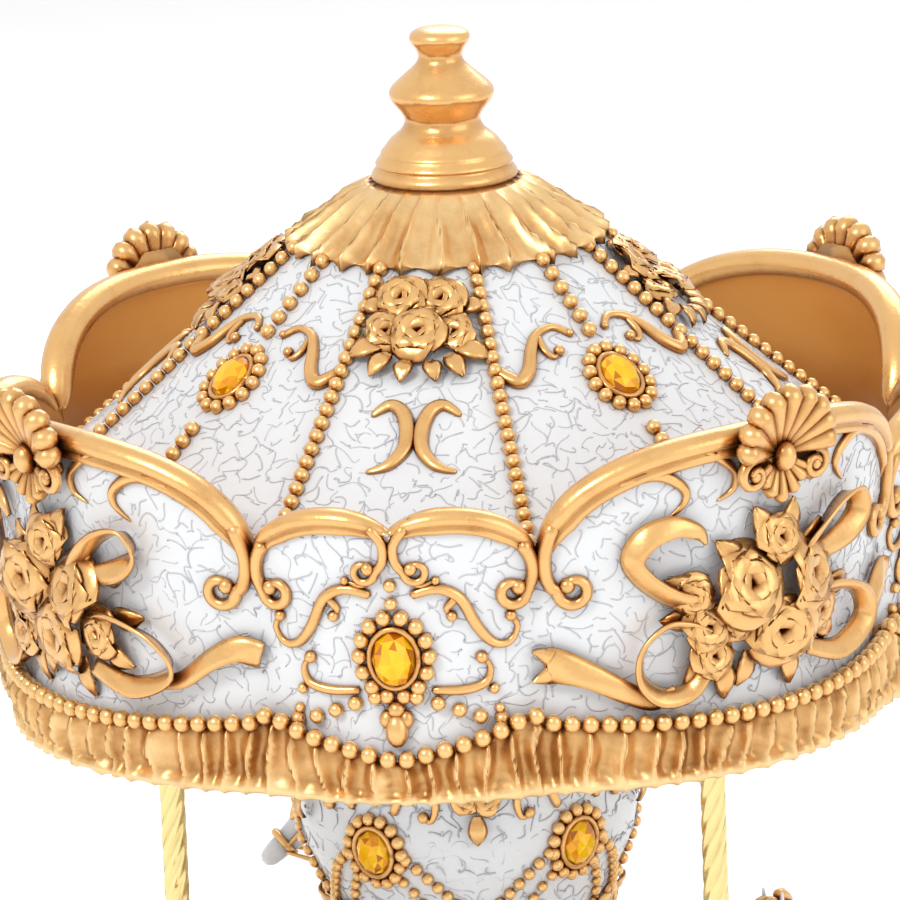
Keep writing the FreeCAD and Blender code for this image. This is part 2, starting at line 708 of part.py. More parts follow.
def below_crest(drop):
    return lambda off: crest_z(off) - drop


def fringe():
    """Ring of gathered cloth cast in resin, round the ceiling's edge."""
    ring = bayed_ring(level(CEILING_Z), level(WALL_FOOT_Z), -FRINGE_PROUD, 9.0)
    return ring.cut(upright(CEILING_R, CEILING_Z - 1, WALL_FOOT_Z + 1))


def parapet():
    """Leaning ring wall with a scalloped top edge."""
    return bayed_ring(level(WALL_FOOT_Z), below_crest(RIM_T), 0.0, WALL_T)


def crest_moulding():
    """Rolled moulding that caps the parapet."""
    return bayed_ring(below_crest(RIM_T), below_crest(0.0), -RIM_PROUD, WALL_T + RIM_PROUD)


def parapet_core():
    """Thick copy of the parapet that trims what is set on it."""
    return bayed_ring(level(WALL_FOOT_Z - 2), below_crest(0.0), 0.0, 14.0)


def dome():
    run = DOME_EDGE_R - DOME_TOP_R
    drop = DOME_TOP_Z - DOME_EDGE_Z
    lean = DOME_T * math.hypot(run, drop) / run
    cone = lathe([(DOME_TOP_R, DOME_TOP_Z), (DOME_EDGE_R, DOME_EDGE_Z), (DOME_EDGE_R, DOME_EDGE_Z - lean),
                  (DOME_TOP_R, DOME_TOP_Z - lean)])
    ledge = bayed_ring(level(DOME_EDGE_Z - lean), level(DOME_EDGE_Z - 1.0), WALL_T + 0.05, WALL_T + 7.0)
    return cone.fuse(ledge)


def dome_skirt():
    z1 = SKIRT_TOP_Z
    top = [(2.0, z1), (14.5, z1), (18.0, z1 - 2.2), (24.0, z1 - 6.6), (30.2, z1 - 10.6), (30.4, z1 - 11.8)]
    under = [(DOME_TOP_R + 1.0, DOME_TOP_Z - 0.83), (DOME_TOP_R, DOME_TOP_Z), (22.0, z1 - 8.0), (2.0, z1 - 3.0)]
    return lathe(top + under)


def finial():
    z = SKIRT_TOP_Z
    outline = [(0, z), (14.2, z), (14.2, z + 1.5), (13.2, z + 3.0), (12.6, z + 5.0), (11.6, z + 6.4), (10.4, z + 8.2),
               (8.6, z + 9.6), (7.6, z + 11.0), (7.6, z + 12.8), (8.6, z + 14.2), (10.0, z + 16.2), (10.2, z + 17.6),
               (9.0, z + 19.4), (7.2, z + 21.0), (4.8, z + 23.0), (4.3, z + 24.4), (4.8, z + 25.8), (5.8, z + 27.4),
               (5.8, z + 28.8), (4.4, FINIAL_TOP_Z - 0.3), (2.4, FINIAL_TOP_Z), (0, FINIAL_TOP_Z)]
    return lathe(outline).cut(upright(2.0, z - 1, z + 5))


def canopy_gems():
    stone = oval_stone(4.3, 5.8, 4.6)
    lean = math.degrees(math.atan(WALL_SLOPE))
    height = 198.6
    core = parapet_core()
    return [set_on(stone, wall_radius(height, 0) - 0.6, PATTERN_TURN + 90 * k, height, lean).cut(core)
            for k in range(4)]


def dome_gems():
    stone = oval_stone(4.0, 4.8, 3.2)
    height = 238.4
    slope = math.degrees(math.atan((DOME_EDGE_R - DOME_TOP_R) / (DOME_TOP_Z - DOME_EDGE_Z)))
    return [set_on(stone, dome_radius(height), PATTERN_TURN + 45 + 90 * k, height, -slope) for k in range(4)]


def shell_crests():
    """Scallop shells that cap the parapet over the rose clusters."""
    fan = [V(12.0 * math.cos(math.radians(a)), 0, 12.0 * math.sin(math.radians(a))) for a in range(0, 181, 20)]
    outline = fan + [V(-8, 0, -6), V(-3, 0, -11), V(3, 0, -11), V(8, 0, -6)]
    plate = Part.Face(Part.makePolygon(outline + outline[:1])).extrude(V(0, -9.0, 0))
    lean = math.degrees(math.atan(WALL_SLOPE))
    height = 233.4
    core = bayed_ring(level(height - 20), level(height + 20), -RIM_PROUD - 0.02, 14.0)
    crests = []
    for k in range(4):
        piece = set_on(plate, wall_radius(height, SHELL_OFF) - 4.0, PATTERN_TURN + SHELL_OFF + 90 * k, height, lean)
        crests.append(max(piece.cut(core).Solids, key=lambda solid: solid.Volume))
    return crests


def rose_clusters():
    """Clusters of roses under the shells, as rounded masses."""
    blooms = ((-2.0, 207.0, 6.0), (6.0, 205.5, 5.0), (1.5, 197.5, 5.2), (-9.0, 203.5, 4.0), (-6.0, 194.5, 3.6),
              (2.0, 214.5, 4.6))
    core = parapet_core()
    clusters = []
    for k in range(4):
        balls = []
        for along, height, radius in blooms:
            off = SHELL_OFF + math.degrees(along / 93.0)
            centre = polar(wall_radius(height, off) + 0.8, PATTERN_TURN + 90 * k + off, height)
            balls.append(Part.makeSphere(radius, centre))
        clusters.append(balls[0].multiFuse(balls[1:]).cut(core))
    return clusters


def dome_roses():
    """Sprays of roses high on the dome, over the double arches."""
    blooms = ((-3.6, 252.0, 3.6), (3.4, 251.0, 3.6), (0.0, 248.0, 4.6), (-4.6, 246.6, 3.0), (4.6, 245.6, 3.0))
    low, high = DOME_EDGE_Z, DOME_TOP_Z
    core = Part.makeCone(dome_radius(low), dome_radius(high), high - low, V(0, 0, low))
    sprays = []
    for k in range(4):
        balls = []
        for along, height, radius in blooms:
            angle = PATTERN_TURN + 90 * k + math.degrees(along / dome_radius(height))
            balls.append(Part.makeSphere(radius, polar(dome_radius(height) + 0.4, angle, height)))
        sprays.append(balls[0].multiFuse(balls[1:]).cut(core))
    return sprays


# ---- build ------------------------------------------------------------------------------
save("base_shell", base_shell())
save("bottom_plate", bottom_plate())
save("bottom_plate_screws", bottom_plate_screws())
save("feet", feet())
save("base_gems", base_gems())
save("glide_ring", glide_ring())
save("spindle_bush", spindle_bush())
save("movement_bedplate", bedplate())
save("bedplate_screws", bedplate_screws())
save("arbor_bush", arbor_bush())
save("clutch_spring", clutch_spring())
save("cylinder_bracket_inner", bracket(13.4, 14.6, -4.0, 4.0, CYLINDER_Z + 4, (0.0,)))
save("cylinder_bracket_outer", bracket(45.2, 46.6, -5.0, GOVERNOR_Y + 4, CYLINDER_Z + 4, (0.0, GOVERNOR_Y)))
save("governor_bearing", bracket(33.0, 34.2, GOVERNOR_Y - 3.5, GOVERNOR_Y + 3.5, CYLINDER_Z + 3.5, (GOVERNOR_Y,)))
save("comb", comb())
save("comb_block", comb_block())
save("comb_screws", comb_screws())
save("governor_bracket", governor_bracket())

save("winding_arbor", winding_arbor())
save("winding_key", winding_key())

save("cylinder_shaft", cylinder_shaft())
save("cylinder_drum", cylinder_drum())
save("cylinder_pins", cylinder_pins())
save("cylinder_pinion", cylinder_pinion())
save("cylinder_wheel", cylinder_wheel())

save("governor_arbor", governor_arbor())
save("governor_pinion", governor_pinion())
save("worm_wheel", worm_wheel())

save("worm", worm())
save("fly", fly())

save("spring_barrel", spring_barrel())
save("barrel_cap", barrel_cap())
save("mainspring", mainspring())
save("spindle", spindle())
save("platform", platform())
save("platform_hub", platform_hub())
save("hub_screws", hub_screws())
save("column", column())
save("column_gems", column_gems())
save("tie_rod", tie_rod())
save("tie_nuts", tie_nuts())
for place, pole_angle in POLE_ANGLES.items():
    save("pole_" + place, pole(pole_angle))
    save("horse_" + place, horse(pole_angle))
save("canopy_ceiling", canopy_ceiling())
save("fringe", fringe())
save("parapet", parapet())
save("crest_moulding", crest_moulding())
save("dome", dome())
save("dome_skirt", dome_skirt())
save("finial", finial())
save("canopy_gems", canopy_gems())
save("dome_gems", dome_gems())
save("shell_crests", shell_crests())
save("rose_clusters", rose_clusters())
save("dome_roses", dome_roses())
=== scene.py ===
# %% [markdown]
# # A wind-up carousel music box
# The ornament is a resin carousel about 300 mm tall. A white, pearly body is covered in raised gold
# work: beads, scrolls, roses and shells. The solid model under it is fixed and exact, so every piece
# here is placed from its sizes. Lengths are written in millimetres and turned into metres at one
# place, the function `polar`. Angles are counted in degrees from the front towards the right.

# %% Load the fixed frame
import json
import math
import random
import bpy
from mathutils import Matrix, Vector


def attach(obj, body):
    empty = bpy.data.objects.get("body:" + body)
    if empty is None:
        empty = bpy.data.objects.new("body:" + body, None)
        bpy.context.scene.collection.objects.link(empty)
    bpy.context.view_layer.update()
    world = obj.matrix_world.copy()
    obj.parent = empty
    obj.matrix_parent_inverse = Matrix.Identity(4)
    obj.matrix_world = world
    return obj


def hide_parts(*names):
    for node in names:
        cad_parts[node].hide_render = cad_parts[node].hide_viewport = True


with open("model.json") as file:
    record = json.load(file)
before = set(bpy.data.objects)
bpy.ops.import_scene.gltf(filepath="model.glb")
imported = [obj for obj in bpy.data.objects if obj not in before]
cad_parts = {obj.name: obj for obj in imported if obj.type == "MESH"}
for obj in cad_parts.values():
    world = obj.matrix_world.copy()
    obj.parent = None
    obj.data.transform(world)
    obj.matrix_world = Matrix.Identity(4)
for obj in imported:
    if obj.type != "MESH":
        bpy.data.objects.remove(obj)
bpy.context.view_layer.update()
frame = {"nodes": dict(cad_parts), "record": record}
MM = 0.001

# %% [markdown]
# The camera is a long lens a little above the object, aimed at the canopy, because that is where all
# the work is. It is rolled by two degrees, as a hand-held camera would be. A very large pale floor
# and a white surrounding give the plain backdrop. They could be a curved studio sweep, but a plane
# looks the same from every side.

# %% Camera, floor and light
AIM_Z = 215.0
CAMERA_DISTANCE = 1322.2
CAMERA_ELEVATION = math.radians(14.1)
CAMERA_ROLL = math.radians(-2.18)


def set_camera():
    data = bpy.data.cameras.new("camera")
    data.lens = 267.5
    data.sensor_width = 36.0
    data.shift_x = -0.0057
    data.clip_end = 100.0
    camera = bpy.data.objects.new("camera", data)
    bpy.context.scene.collection.objects.link(camera)
    aim = Vector((0.0, 0.0, AIM_Z * MM))
    back = Vector((0.0, -math.cos(CAMERA_ELEVATION), math.sin(CAMERA_ELEVATION)))
    camera.location = aim + back * CAMERA_DISTANCE * MM
    turn = back.to_track_quat("Z", "Y").to_matrix().to_4x4()
    roll = turn @ Matrix.Rotation(CAMERA_ROLL, 4, "Z")
    camera.rotation_euler = roll.to_euler()
    bpy.context.scene.camera = camera


def add_area_light(name, place, size, power):
    data = bpy.data.lights.new(name, "AREA")
    data.size = size
    data.energy = power
    light = bpy.data.objects.new(name, data)
    bpy.context.scene.collection.objects.link(light)
    light.location = place
    direction = Vector((0.0, 0.0, 0.18)) - Vector(place)
    light.rotation_euler = direction.to_track_quat("-Z", "Y").to_euler()


def add_floor():
    half = 15.0
    mesh = bpy.data.meshes.new("floor")
    corners = [(-half, -half, 0), (half, -half, 0), (half, half, 0), (-half, half, 0)]
    mesh.from_pydata(corners, [], [(0, 1, 2, 3)])
    floor = bpy.data.objects.new("floor", mesh)
    bpy.context.scene.collection.objects.link(floor)
    material = bpy.data.materials.new("white_floor")
    material.use_nodes = True
    shader = material.node_tree.nodes["Principled BSDF"]
    shader.inputs["Base Color"].default_value = (0.97, 0.97, 0.97, 1.0)
    shader.inputs["Roughness"].default_value = 0.9
    mesh.materials.append(material)


set_camera()
add_floor()
add_area_light("key_light", (-0.75, -1.1, 1.25), 0.4, 10.0)
add_area_light("fill_light", (1.3, -0.9, 0.8), 1.1, 4.5)
add_area_light("back_light", (0.3, 1.2, 1.1), 0.9, 6.0)
world = bpy.data.worlds.new("white_room")
world.use_nodes = True
world.node_tree.nodes["Background"].inputs["Color"].default_value = (1.0, 1.0, 1.0, 1.0)
world.node_tree.nodes["Background"].inputs["Strength"].default_value = 0.86
bpy.context.scene.world = world
bpy.context.scene.view_settings.view_transform = "Standard"
print("camera at", [round(v, 3) for v in bpy.context.scene.camera.location])

# %% [markdown]
# ## The canopy's plan
# The canopy is not round. It is made of eight bays that swell out: under each of four double arches a
# narrow bay, and between them four wide bays under big arches. All later pieces on the canopy need
# the same surface, so it is written once as a formula. `off` is the angle from the middle of the
# nearest double arch's pattern, which starts a little left of the front.

# %% Surfaces that ornaments stand on
TURN = -8.0
QUARTERS = (0, 90, 180, 270)
NOTCH_OFF, SHELL_OFF = 17.0, 45.0
WALL_FOOT_Z, WALL_FOOT_R, WALL_SLOPE, WALL_T = 183.0, 86.5, 0.12, 3.0
NOTCH_Z, HUMP_Z, BIG_ARCH_Z = 216.9, 227.2, 238.2
RIM_T = 3.4
PLATFORM_TOP, CEILING_Z = 68.0, 170.0
DOME_TOP, DOME_EDGE = (28.0, 259.2), (86.0, 209.9)


def polar(radius, angle, z):
    """Point at a radius and height in millimetres and an angle from the front, as a place in metres."""
    a = math.radians(angle)
    return Vector((radius * math.sin(a), -radius * math.cos(a), z)) * MM


def from_double_arch(off):
    return abs((off + 45.0) % 90.0 - 45.0)


def bulge(off):
    angle = from_double_arch(off)
    if angle < NOTCH_OFF:
        return 3.0 * math.cos(math.pi / 2 * angle / NOTCH_OFF)
    return 5.0 * math.sin(math.pi / 2 * (angle - NOTCH_OFF) / (SHELL_OFF - NOTCH_OFF))


def crest_z(off):
    angle = from_double_arch(off)
    if angle < NOTCH_OFF:
        aside = angle - 6.5
        half = 10.5 if aside > 0 else 8.5
        return NOTCH_Z + (HUMP_Z - NOTCH_Z) * math.sqrt(max(0.0, 1 - (aside / half) ** 2))
    share = (angle - NOTCH_OFF) / (SHELL_OFF - NOTCH_OFF)
    return NOTCH_Z + (BIG_ARCH_Z - NOTCH_Z) * math.sqrt(max(0.0, 1 - (1 - share) ** 2.6))


def wall_radius(z, off):
    return WALL_FOOT_R + (z - WALL_FOOT_Z) * WALL_SLOPE + bulge(off)


def on_wall(off, z, lift=0.0):
    return polar(wall_radius(z, off) + lift, off + TURN, z)


def on_dome(off, z, lift=0.0):
    share = (DOME_TOP[1] - z) / (DOME_TOP[1] - DOME_EDGE[1])
    radius = DOME_TOP[0] + (DOME_EDGE[0] - DOME_TOP[0]) * share
    return polar(radius + 0.65 * lift, off + TURN, z + 0.76 * lift)


COLUMN_OUTLINE = ((68, 33), (71, 33), (74, 30.5), (80, 29), (92, 24), (102, 21.5), (110, 21.5), (118, 24),
                  (128, 29), (137, 33), (143, 34), (172, 34))


def along(outline, z):
    """Radius of an outline of (height, radius) points at a height."""
    for (z0, r0), (z1, r1) in zip(outline, outline[1:]):
        if z <= z1:
            return r0 + (r1 - r0) * (z - z0) / (z1 - z0)
    return outline[-1][1]


def on_column(off, z, lift=0.0):
    return polar(along(COLUMN_OUTLINE, z) + lift, off, z)


BASE_OUTLINE = ((14, 90), (16, 92), (21, 92), (24, 88.5), (29, 85), (36, 82.5), (42, 82), (49, 84), (52, 88),
                (56, 88.5), (59, 86))


def on_base(off, z, lift=0.0):
    return polar(along(BASE_OUTLINE, z) + lift, off + TURN, z)


def on_platform(off, radius, lift=0.0):
    """The platform's top; the second value is a radius instead of a height."""
    return polar(radius, off + TURN, PLATFORM_TOP + lift)


def facing(surface, off, z):
    """Outward unit normal of a surface."""
    step = 0.4
    across = surface(off + step, z) - surface(off - step, z)
    up = surface(off, z + step) - surface(off, z - step)
    normal = across.cross(up).normalized()
    away = surface(off, z, 1.0) - surface(off, z)
    return normal if normal.dot(away) > 0 else -normal


def upright(surface, off, z):
    """Unit vectors of a surface: outward, to the right, and up along it."""
    out = facing(surface, off, z)
    right = Vector((0, 0, 1)).cross(out).normalized()
    return out, right, out.cross(right)


print("wall radius at a crease and at a shell:", wall_radius(200, 17), wall_radius(200, 45))

# %% [markdown]
# ## Meshes in code
# Most of the gold work is drawn by hand on a real mould: a strand of clay that tapers, curls and ends
# in a ball. `Heap` gathers many such strands into one mesh, and `strand` sweeps a round or flattened
# section along a smooth curve through a few points. Curve objects with a bevel could do it, but they
# can't stay upright on a curved wall, and here each ring is turned by the wall's own normal.

# %% Helpers for strands and shells of mesh
TIP_SHARE = 0.6


class Heap:
    """Collects the points and faces of many small shapes into one mesh."""

    def __init__(self):
        self.points, self.faces = [], []

    def add(self, points, faces):
        start = len(self.points)
        self.points += points
        self.faces += [tuple(start + i for i in face) for face in faces]

    def mesh(self, name, materials, tones=(), smooth=True):
        """The mesh; tones gives the number of each face's material, where there are several."""
        mesh = bpy.data.meshes.new(name)
        mesh.from_pydata(self.points, [], self.faces)
        if tones:
            mesh.polygons.foreach_set("material_index", tones)
        mesh.polygons.foreach_set("use_smooth", [smooth] * len(self.faces))
        for material in materials:
            mesh.materials.append(material)
        mesh.update()
        return mesh

    def make(self, name, materials, body, slot, replaced=(), tones=()):
        return place(self.mesh(name, materials, tones), name, body, slot, replaced)


def place(mesh, name, body, slot, replaced=()):
    """Puts a finished mesh in the scene, on a body, with its finish and the nodes it stands for."""
    piece = bpy.data.objects.new(name, mesh)
    bpy.context.scene.collection.objects.link(piece)
    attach(piece, body)
    if replaced:
        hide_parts(*replaced)
    print(name, "faces:", len(mesh.polygons))
    return piece


def smooth_path(keys, steps=6):
    """Catmull-Rom curve through key tuples of any length."""
    keys = [tuple(float(v) for v in key) for key in keys]
    padded = [keys[0]] + keys + [keys[-1]]
    path = []
    for a, b, c, d in zip(padded, padded[1:], padded[2:], padded[3:]):
        for k in range(steps):
            t = k / steps
            path.append(tuple(
                0.5 * (2 * q + (r - p) * t + (2 * p - 5 * q + 4 * r - s) * t * t + (3 * q - p - 3 * r + s) * t ** 3)
                for p, q, r, s in zip(a, b, c, d)))
    return path + [keys[-1]]


def tube_faces(rings, count, wrap=False):
    """Quads between rings of count points; wrap joins the last ring to the first."""
    steps = [(i * count, (i + 1) % rings * count) for i in range(rings if wrap else rings - 1)]
    return [(i + k, j + k, j + (k + 1) % count, i + (k + 1) % count) for i, j in steps for k in range(count)]


def turned(faces):
    """The same quads, facing the other way."""
    return [(a, d, c, b) for a, b, c, d in faces]


def flat_ends(rings, count):
    """One face on a tube's first ring and one on its last."""
    return [tuple(range(count))[::-1], tuple((rings - 1) * count + k for k in range(count))]


def tip_faces(rings, count):
    """Triangles to the two tips of a tube, whose points come after those of its rings."""
    tip, last, faces = rings * count, (rings - 1) * count, []
    for k in range(count):
        n = (k + 1) % count
        faces += [(tip, k, n), (tip + 1, last + n, last + k)]
    return faces


def sweep(heap, centres, normals, widths, heights, sides=8):
    """Tube with closed pointed ends; width lies along the surface and height off it, both in mm."""
    count = len(centres)
    points = []
    for i, centre in enumerate(centres):
        ahead = centres[min(i + 1, count - 1)] - centres[max(i - 1, 0)]
        out = normals[i]
        side = ahead.cross(out).normalized()
        for k in range(sides):
            a = 2 * math.pi * k / sides
            points.append(centre + (side * widths[i] * math.cos(a) + out * heights[i] * math.sin(a)) * MM)
    points.append(centres[0] - (centres[1] - centres[0]).normalized() * widths[0] * TIP_SHARE * MM)
    points.append(centres[-1] + (centres[-1] - centres[-2]).normalized() * widths[-1] * TIP_SHARE * MM)
    heap.add(points, tube_faces(count, sides) + tip_faces(count, sides))


def strand(heap, surface, keys, width, height, lift, taper, steps=6):
    """Strand of a surface through (off, z) keys. taper gives the share of its width along its length."""
    path = smooth_path(keys, steps)
    shares = [taper(i / (len(path) - 1)) for i in range(len(path))]
    centres = [surface(off, z, lift * share) for (off, z), share in zip(path, shares)]
    normals = [facing(surface, off, z) for off, z in path]
    sweep(heap, centres, normals, [width * s for s in shares], [height * s for s in shares])


def ball(heap, centre, radius, stretch=None, sides=8, rings=5):
    """Small ball; stretch is an axis vector by which it is lengthened."""
    points = []
    axis = (stretch or Vector((0, 0, 1))).normalized()
    side = axis.orthogonal().normalized()
    third = axis.cross(side)
    long = radius if stretch is None else stretch.length
    for i in range(1, rings):
        a = math.pi * i / rings
        for k in range(sides):
            b = 2 * math.pi * k / sides
            flat = side * math.cos(b) + third * math.sin(b)
            points.append(centre + (flat * math.sin(a) * radius + axis * math.cos(a) * long) * MM)
    points += [centre + axis * long * MM, centre - axis * long * MM]
    heap.add(points, tube_faces(rings - 1, sides) + tip_faces(rings - 1, sides))


def taper_tail(t):
    """Full at the start, a point at the end."""
    return 0.12 + 0.88 * math.cos(math.pi / 2 * t) ** 0.7 if t < 1 else 0.12


def lathe(heap, profile, sides, caps=False):
    """Surface of revolution of (radius, z) points. A profile that ends where it starts makes a closed
    ring; caps closes an open one above and below."""
    ring = profile[0] == profile[-1]
    profile = profile[:-1] if ring else profile
    points = [polar(radius, 360.0 * k / sides, z) for radius, z in profile for k in range(sides)]
    faces = turned(tube_faces(len(profile), sides, ring))
    heap.add(points, faces + (flat_ends(len(profile), sides) if caps else []))


def border(rows, cols):
    """Numbers of the points right round a grid of rows of cols points."""
    last = (rows - 1) * cols
    return ([j for j in range(cols)] + [i * cols + cols - 1 for i in range(1, rows)]
            + [last + j for j in range(cols - 2, -1, -1)] + [i * cols for i in range(rows - 2, 0, -1)])


def mirrored(middle, side, *keys):
    """Keys (off, z) counted from a middle, to its right if side is 1 and to its left if it is -1."""
    return [(middle + side * off, z) for off, z in keys]


def around(middles, specs):
    """A pattern of (off, ...) rows repeated at every middle."""
    return [(middle + spec[0],) + spec[1:] for middle in middles for spec in specs]


def oval(surface, off, z, half_width, half_height, steps, closed=False):
    """Places (off, z) on an oval round a stone, sized in mm; closed repeats the first at the end."""
    degree = (surface(off + 0.5, z) - surface(off - 0.5, z)).length / MM
    climb = (surface(off, z + 0.5) - surface(off, z - 0.5)).length / MM
    return [(off + half_width / degree * math.cos(a), z + half_height / climb * math.sin(a))
            for a in (2 * math.pi * k / steps for k in range(steps + closed))]


print("helpers ready")

# %% [markdown]
# ## Finishes
# Antique gold on resin is a gold paint rubbed over a brown one: brown stays in the hollows and the
# raised places are bright. One shader group measures how open a point is with ambient occlusion and
# adds blotches of noise for uneven wear. Each gold then has its own colours, darker in the hollows: partly
# that brown wash, partly painted shade in folds, creases and between ornaments. The white is a pearl
# varnish, faintly warm in places, and its bump is as fine as orange peel; its grey in creases is painted shade.

# %% Shader groups
def new_shader_group(name, inputs, outputs):
    group = bpy.data.node_groups.new(name, "ShaderNodeTree")
    for label, value in inputs:
        socket = group.interface.new_socket(label, in_out="INPUT", socket_type="NodeSocketFloat")
        socket.default_value = value
    for label in outputs:
        group.interface.new_socket(label, in_out="OUTPUT", socket_type="NodeSocketFloat")
    return group, group.nodes.new("NodeGroupInput"), group.nodes.new("NodeGroupOutput")


def add(tree, kind, settings=(), **inputs):
    """New node with its settings and inputs; an input is a value or another node's output."""
    made = tree.nodes.new(kind)
    for label, value in dict(settings).items():
        setattr(made, label, value)
    for label, value in inputs.items():
        socket = made.inputs[int(label[1:])] if label[0] == "i" and label[1:].isdigit() else made.inputs[label]
        if isinstance(value, bpy.types.NodeSocket):
            tree.links.new(value, socket)
        else:
            socket.default_value = value
    return made


def maths(tree, operation, *values, **settings):
    """Output of a maths node; a value is a number or another node's output."""
    made = add(tree, "ShaderNodeMath", {"operation": operation, **settings},
               **{f"i{k}": value for k, value in enumerate(values)})
    return made.outputs[0]


def hollows_and_wear():
    group, start, end = new_shader_group(
        "hollows_and_wear",
        (("Reach", 0.003), ("Blotch size", 160.0), ("Blotch share", 0.25)),
        ("Openness", "Blotches"))
    # Ambient occlusion makes hollows, creases and the spaces between parts darker: painted shade.
    occlusion = add(group, "ShaderNodeAmbientOcclusion", {"samples": 6}, Distance=start.outputs["Reach"])
    place_of = add(group, "ShaderNodeTexCoord")
    noise = add(group, "ShaderNodeTexNoise", Vector=place_of.outputs["Object"],
                Scale=start.outputs["Blotch size"], Detail=4.0, Roughness=0.6)
    centred = maths(group, "SUBTRACT", noise.outputs["Fac"], 0.5)
    scaled = maths(group, "MULTIPLY", centred, start.outputs["Blotch share"])
    opened = maths(group, "ADD", occlusion.outputs["AO"], scaled, use_clamp=True)
    group.links.new(opened, end.inputs["Openness"])
    group.links.new(noise.outputs["Fac"], end.inputs["Blotches"])
    return group


def fine_grain():
    """Height of a fine surface."""
    group, start, end = new_shader_group("fine_grain", (("Size", 900.0),), ("Height",))
    place_of = add(group, "ShaderNodeTexCoord")
    noise = add(group, "ShaderNodeTexNoise", Vector=place_of.outputs["Object"],
                Scale=start.outputs["Size"], Detail=3.0)
    group.links.new(noise.outputs["Fac"], end.inputs["Height"])
    return group


BUMP_HEIGHT = 0.2 * MM
SHADE_AND_WEAR = hollows_and_wear()
GRAIN = fine_grain()
print("shader groups:", SHADE_AND_WEAR.name, GRAIN.name)


# %% Materials
def new_material(name):
    material = bpy.data.materials.new(name)
    material.use_nodes = True
    return material, material.node_tree, material.node_tree.nodes["Principled BSDF"]


def colour_ramp(tree, factor, stops):
    ramp = add(tree, "ShaderNodeValToRGB", Fac=factor)
    elements = ramp.color_ramp.elements
    while len(elements) < len(stops):
        elements.new(0.5)
    for element, (position, colour) in zip(elements, stops):
        element.position = position
        element.color = (*colour, 1.0)
    return ramp.outputs["Color"]


def add_bump(tree, shader, size, strength):
    grain = add(tree, "ShaderNodeGroup", {"node_tree": GRAIN}, Size=size)
    bump = add(tree, "ShaderNodeBump", Strength=strength, Distance=BUMP_HEIGHT, Height=grain.outputs["Height"])
    tree.links.new(bump.outputs["Normal"], shader.inputs["Normal"])


def shaded_and_worn(name, stops, reach=0.003, metallic=0.0, rough=(0.3, 0.5), coat=0.3, blotch=0.25, grain=0.25,
         grain_size=900.0, blotch_size=160.0, coat_rough=0.2):
    """Painted or metal finish whose colour follows how open each point is: the darker colours in hollows are painted
    shade, and noise blotches add uneven wear.
    """
    material, tree, shader = new_material(name)
    mask = add(tree, "ShaderNodeGroup", {"node_tree": SHADE_AND_WEAR}, Reach=reach)
    mask.inputs["Blotch size"].default_value = blotch_size
    mask.inputs["Blotch share"].default_value = blotch
    # The ramp runs from the painted shade of the hollows to the colour in the open.
    tree.links.new(colour_ramp(tree, mask.outputs["Openness"], stops), shader.inputs["Base Color"])
    spread = add(tree, "ShaderNodeMapRange", Value=mask.outputs["Blotches"])
    spread.inputs["To Min"].default_value = rough[0]
    spread.inputs["To Max"].default_value = rough[1]
    tree.links.new(spread.outputs[0], shader.inputs["Roughness"])
    shader.inputs["Metallic"].default_value = metallic
    shader.inputs["Coat Weight"].default_value = coat
    shader.inputs["Coat Roughness"].default_value = coat_rough
    add_bump(tree, shader, grain_size, grain)
    return material


# Gold finishes: their dark stops in the hollows are partly the brown wash of antique gold and partly painted shade in
# folds, creases and between ornaments.
GOLD = shaded_and_worn("antique_gold", ((0.0, (0.05, 0.014, 0.002)), (0.45, (0.25, 0.08, 0.012)),
                             (0.76, (0.58, 0.26, 0.065)), (1.0, (0.92, 0.54, 0.2))),
            reach=0.0034, metallic=0.85, rough=(0.2, 0.38), coat=0.5, blotch=0.34, grain=0.35, coat_rough=0.12)
BEAD_GOLD = shaded_and_worn("bead_gold", ((0.0, (0.16, 0.055, 0.008)), (0.4, (0.48, 0.2, 0.04)), (0.8, (0.8, 0.43, 0.13)),
                               (1.0, (0.95, 0.6, 0.24))),
                 reach=0.0022, metallic=0.8, rough=(0.2, 0.34), coat=0.5, blotch=0.25, grain=0.2, coat_rough=0.1)
CLOTH_GOLD = shaded_and_worn("gathered_gold", ((0.0, (0.04, 0.012, 0.002)), (0.42, (0.24, 0.08, 0.014)),
                                    (0.7, (0.72, 0.37, 0.11)), (1.0, (0.98, 0.7, 0.34))),
                  reach=0.005, metallic=0.8, rough=(0.28, 0.46), coat=0.3, blotch=0.5, grain=0.4, grain_size=500.0)
# Inside of the parapet: its long reach darkens it wherever other parts are near, as painted shade.
INNER_GOLD = shaded_and_worn("satin_gold", ((0.0, (0.26, 0.09, 0.012)), (0.6, (0.55, 0.21, 0.03)), (1.0, (0.7, 0.31, 0.06))),
                  reach=0.012, metallic=0.55, rough=(0.3, 0.44), coat=0.3, blotch=0.35, grain=0.15,
                  grain_size=300.0, blotch_size=60.0)
# Pearl white: its darker, warm grey stops in creases and round the ornaments are painted shade.
PEARL = shaded_and_worn("pearl_white", ((0.0, (0.46, 0.42, 0.39)), (0.45, (0.68, 0.69, 0.71)), (1.0, (0.76, 0.775, 0.79))),
             reach=0.004, rough=(0.25, 0.42), coat=0.45, blotch=0.3, grain=0.35, grain_size=420.0, blotch_size=45.0,
             coat_rough=0.15)
# Thread grey is the threads' own colour; the darker end, where the wall is close, is painted shade.
THREAD = shaded_and_worn("grey_thread", ((0.0, (0.36, 0.36, 0.38)), (1.0, (0.66, 0.66, 0.69))), reach=0.001, rough=(0.4, 0.5),
              coat=0.3, blotch=0.6, grain=0.1, blotch_size=300.0)
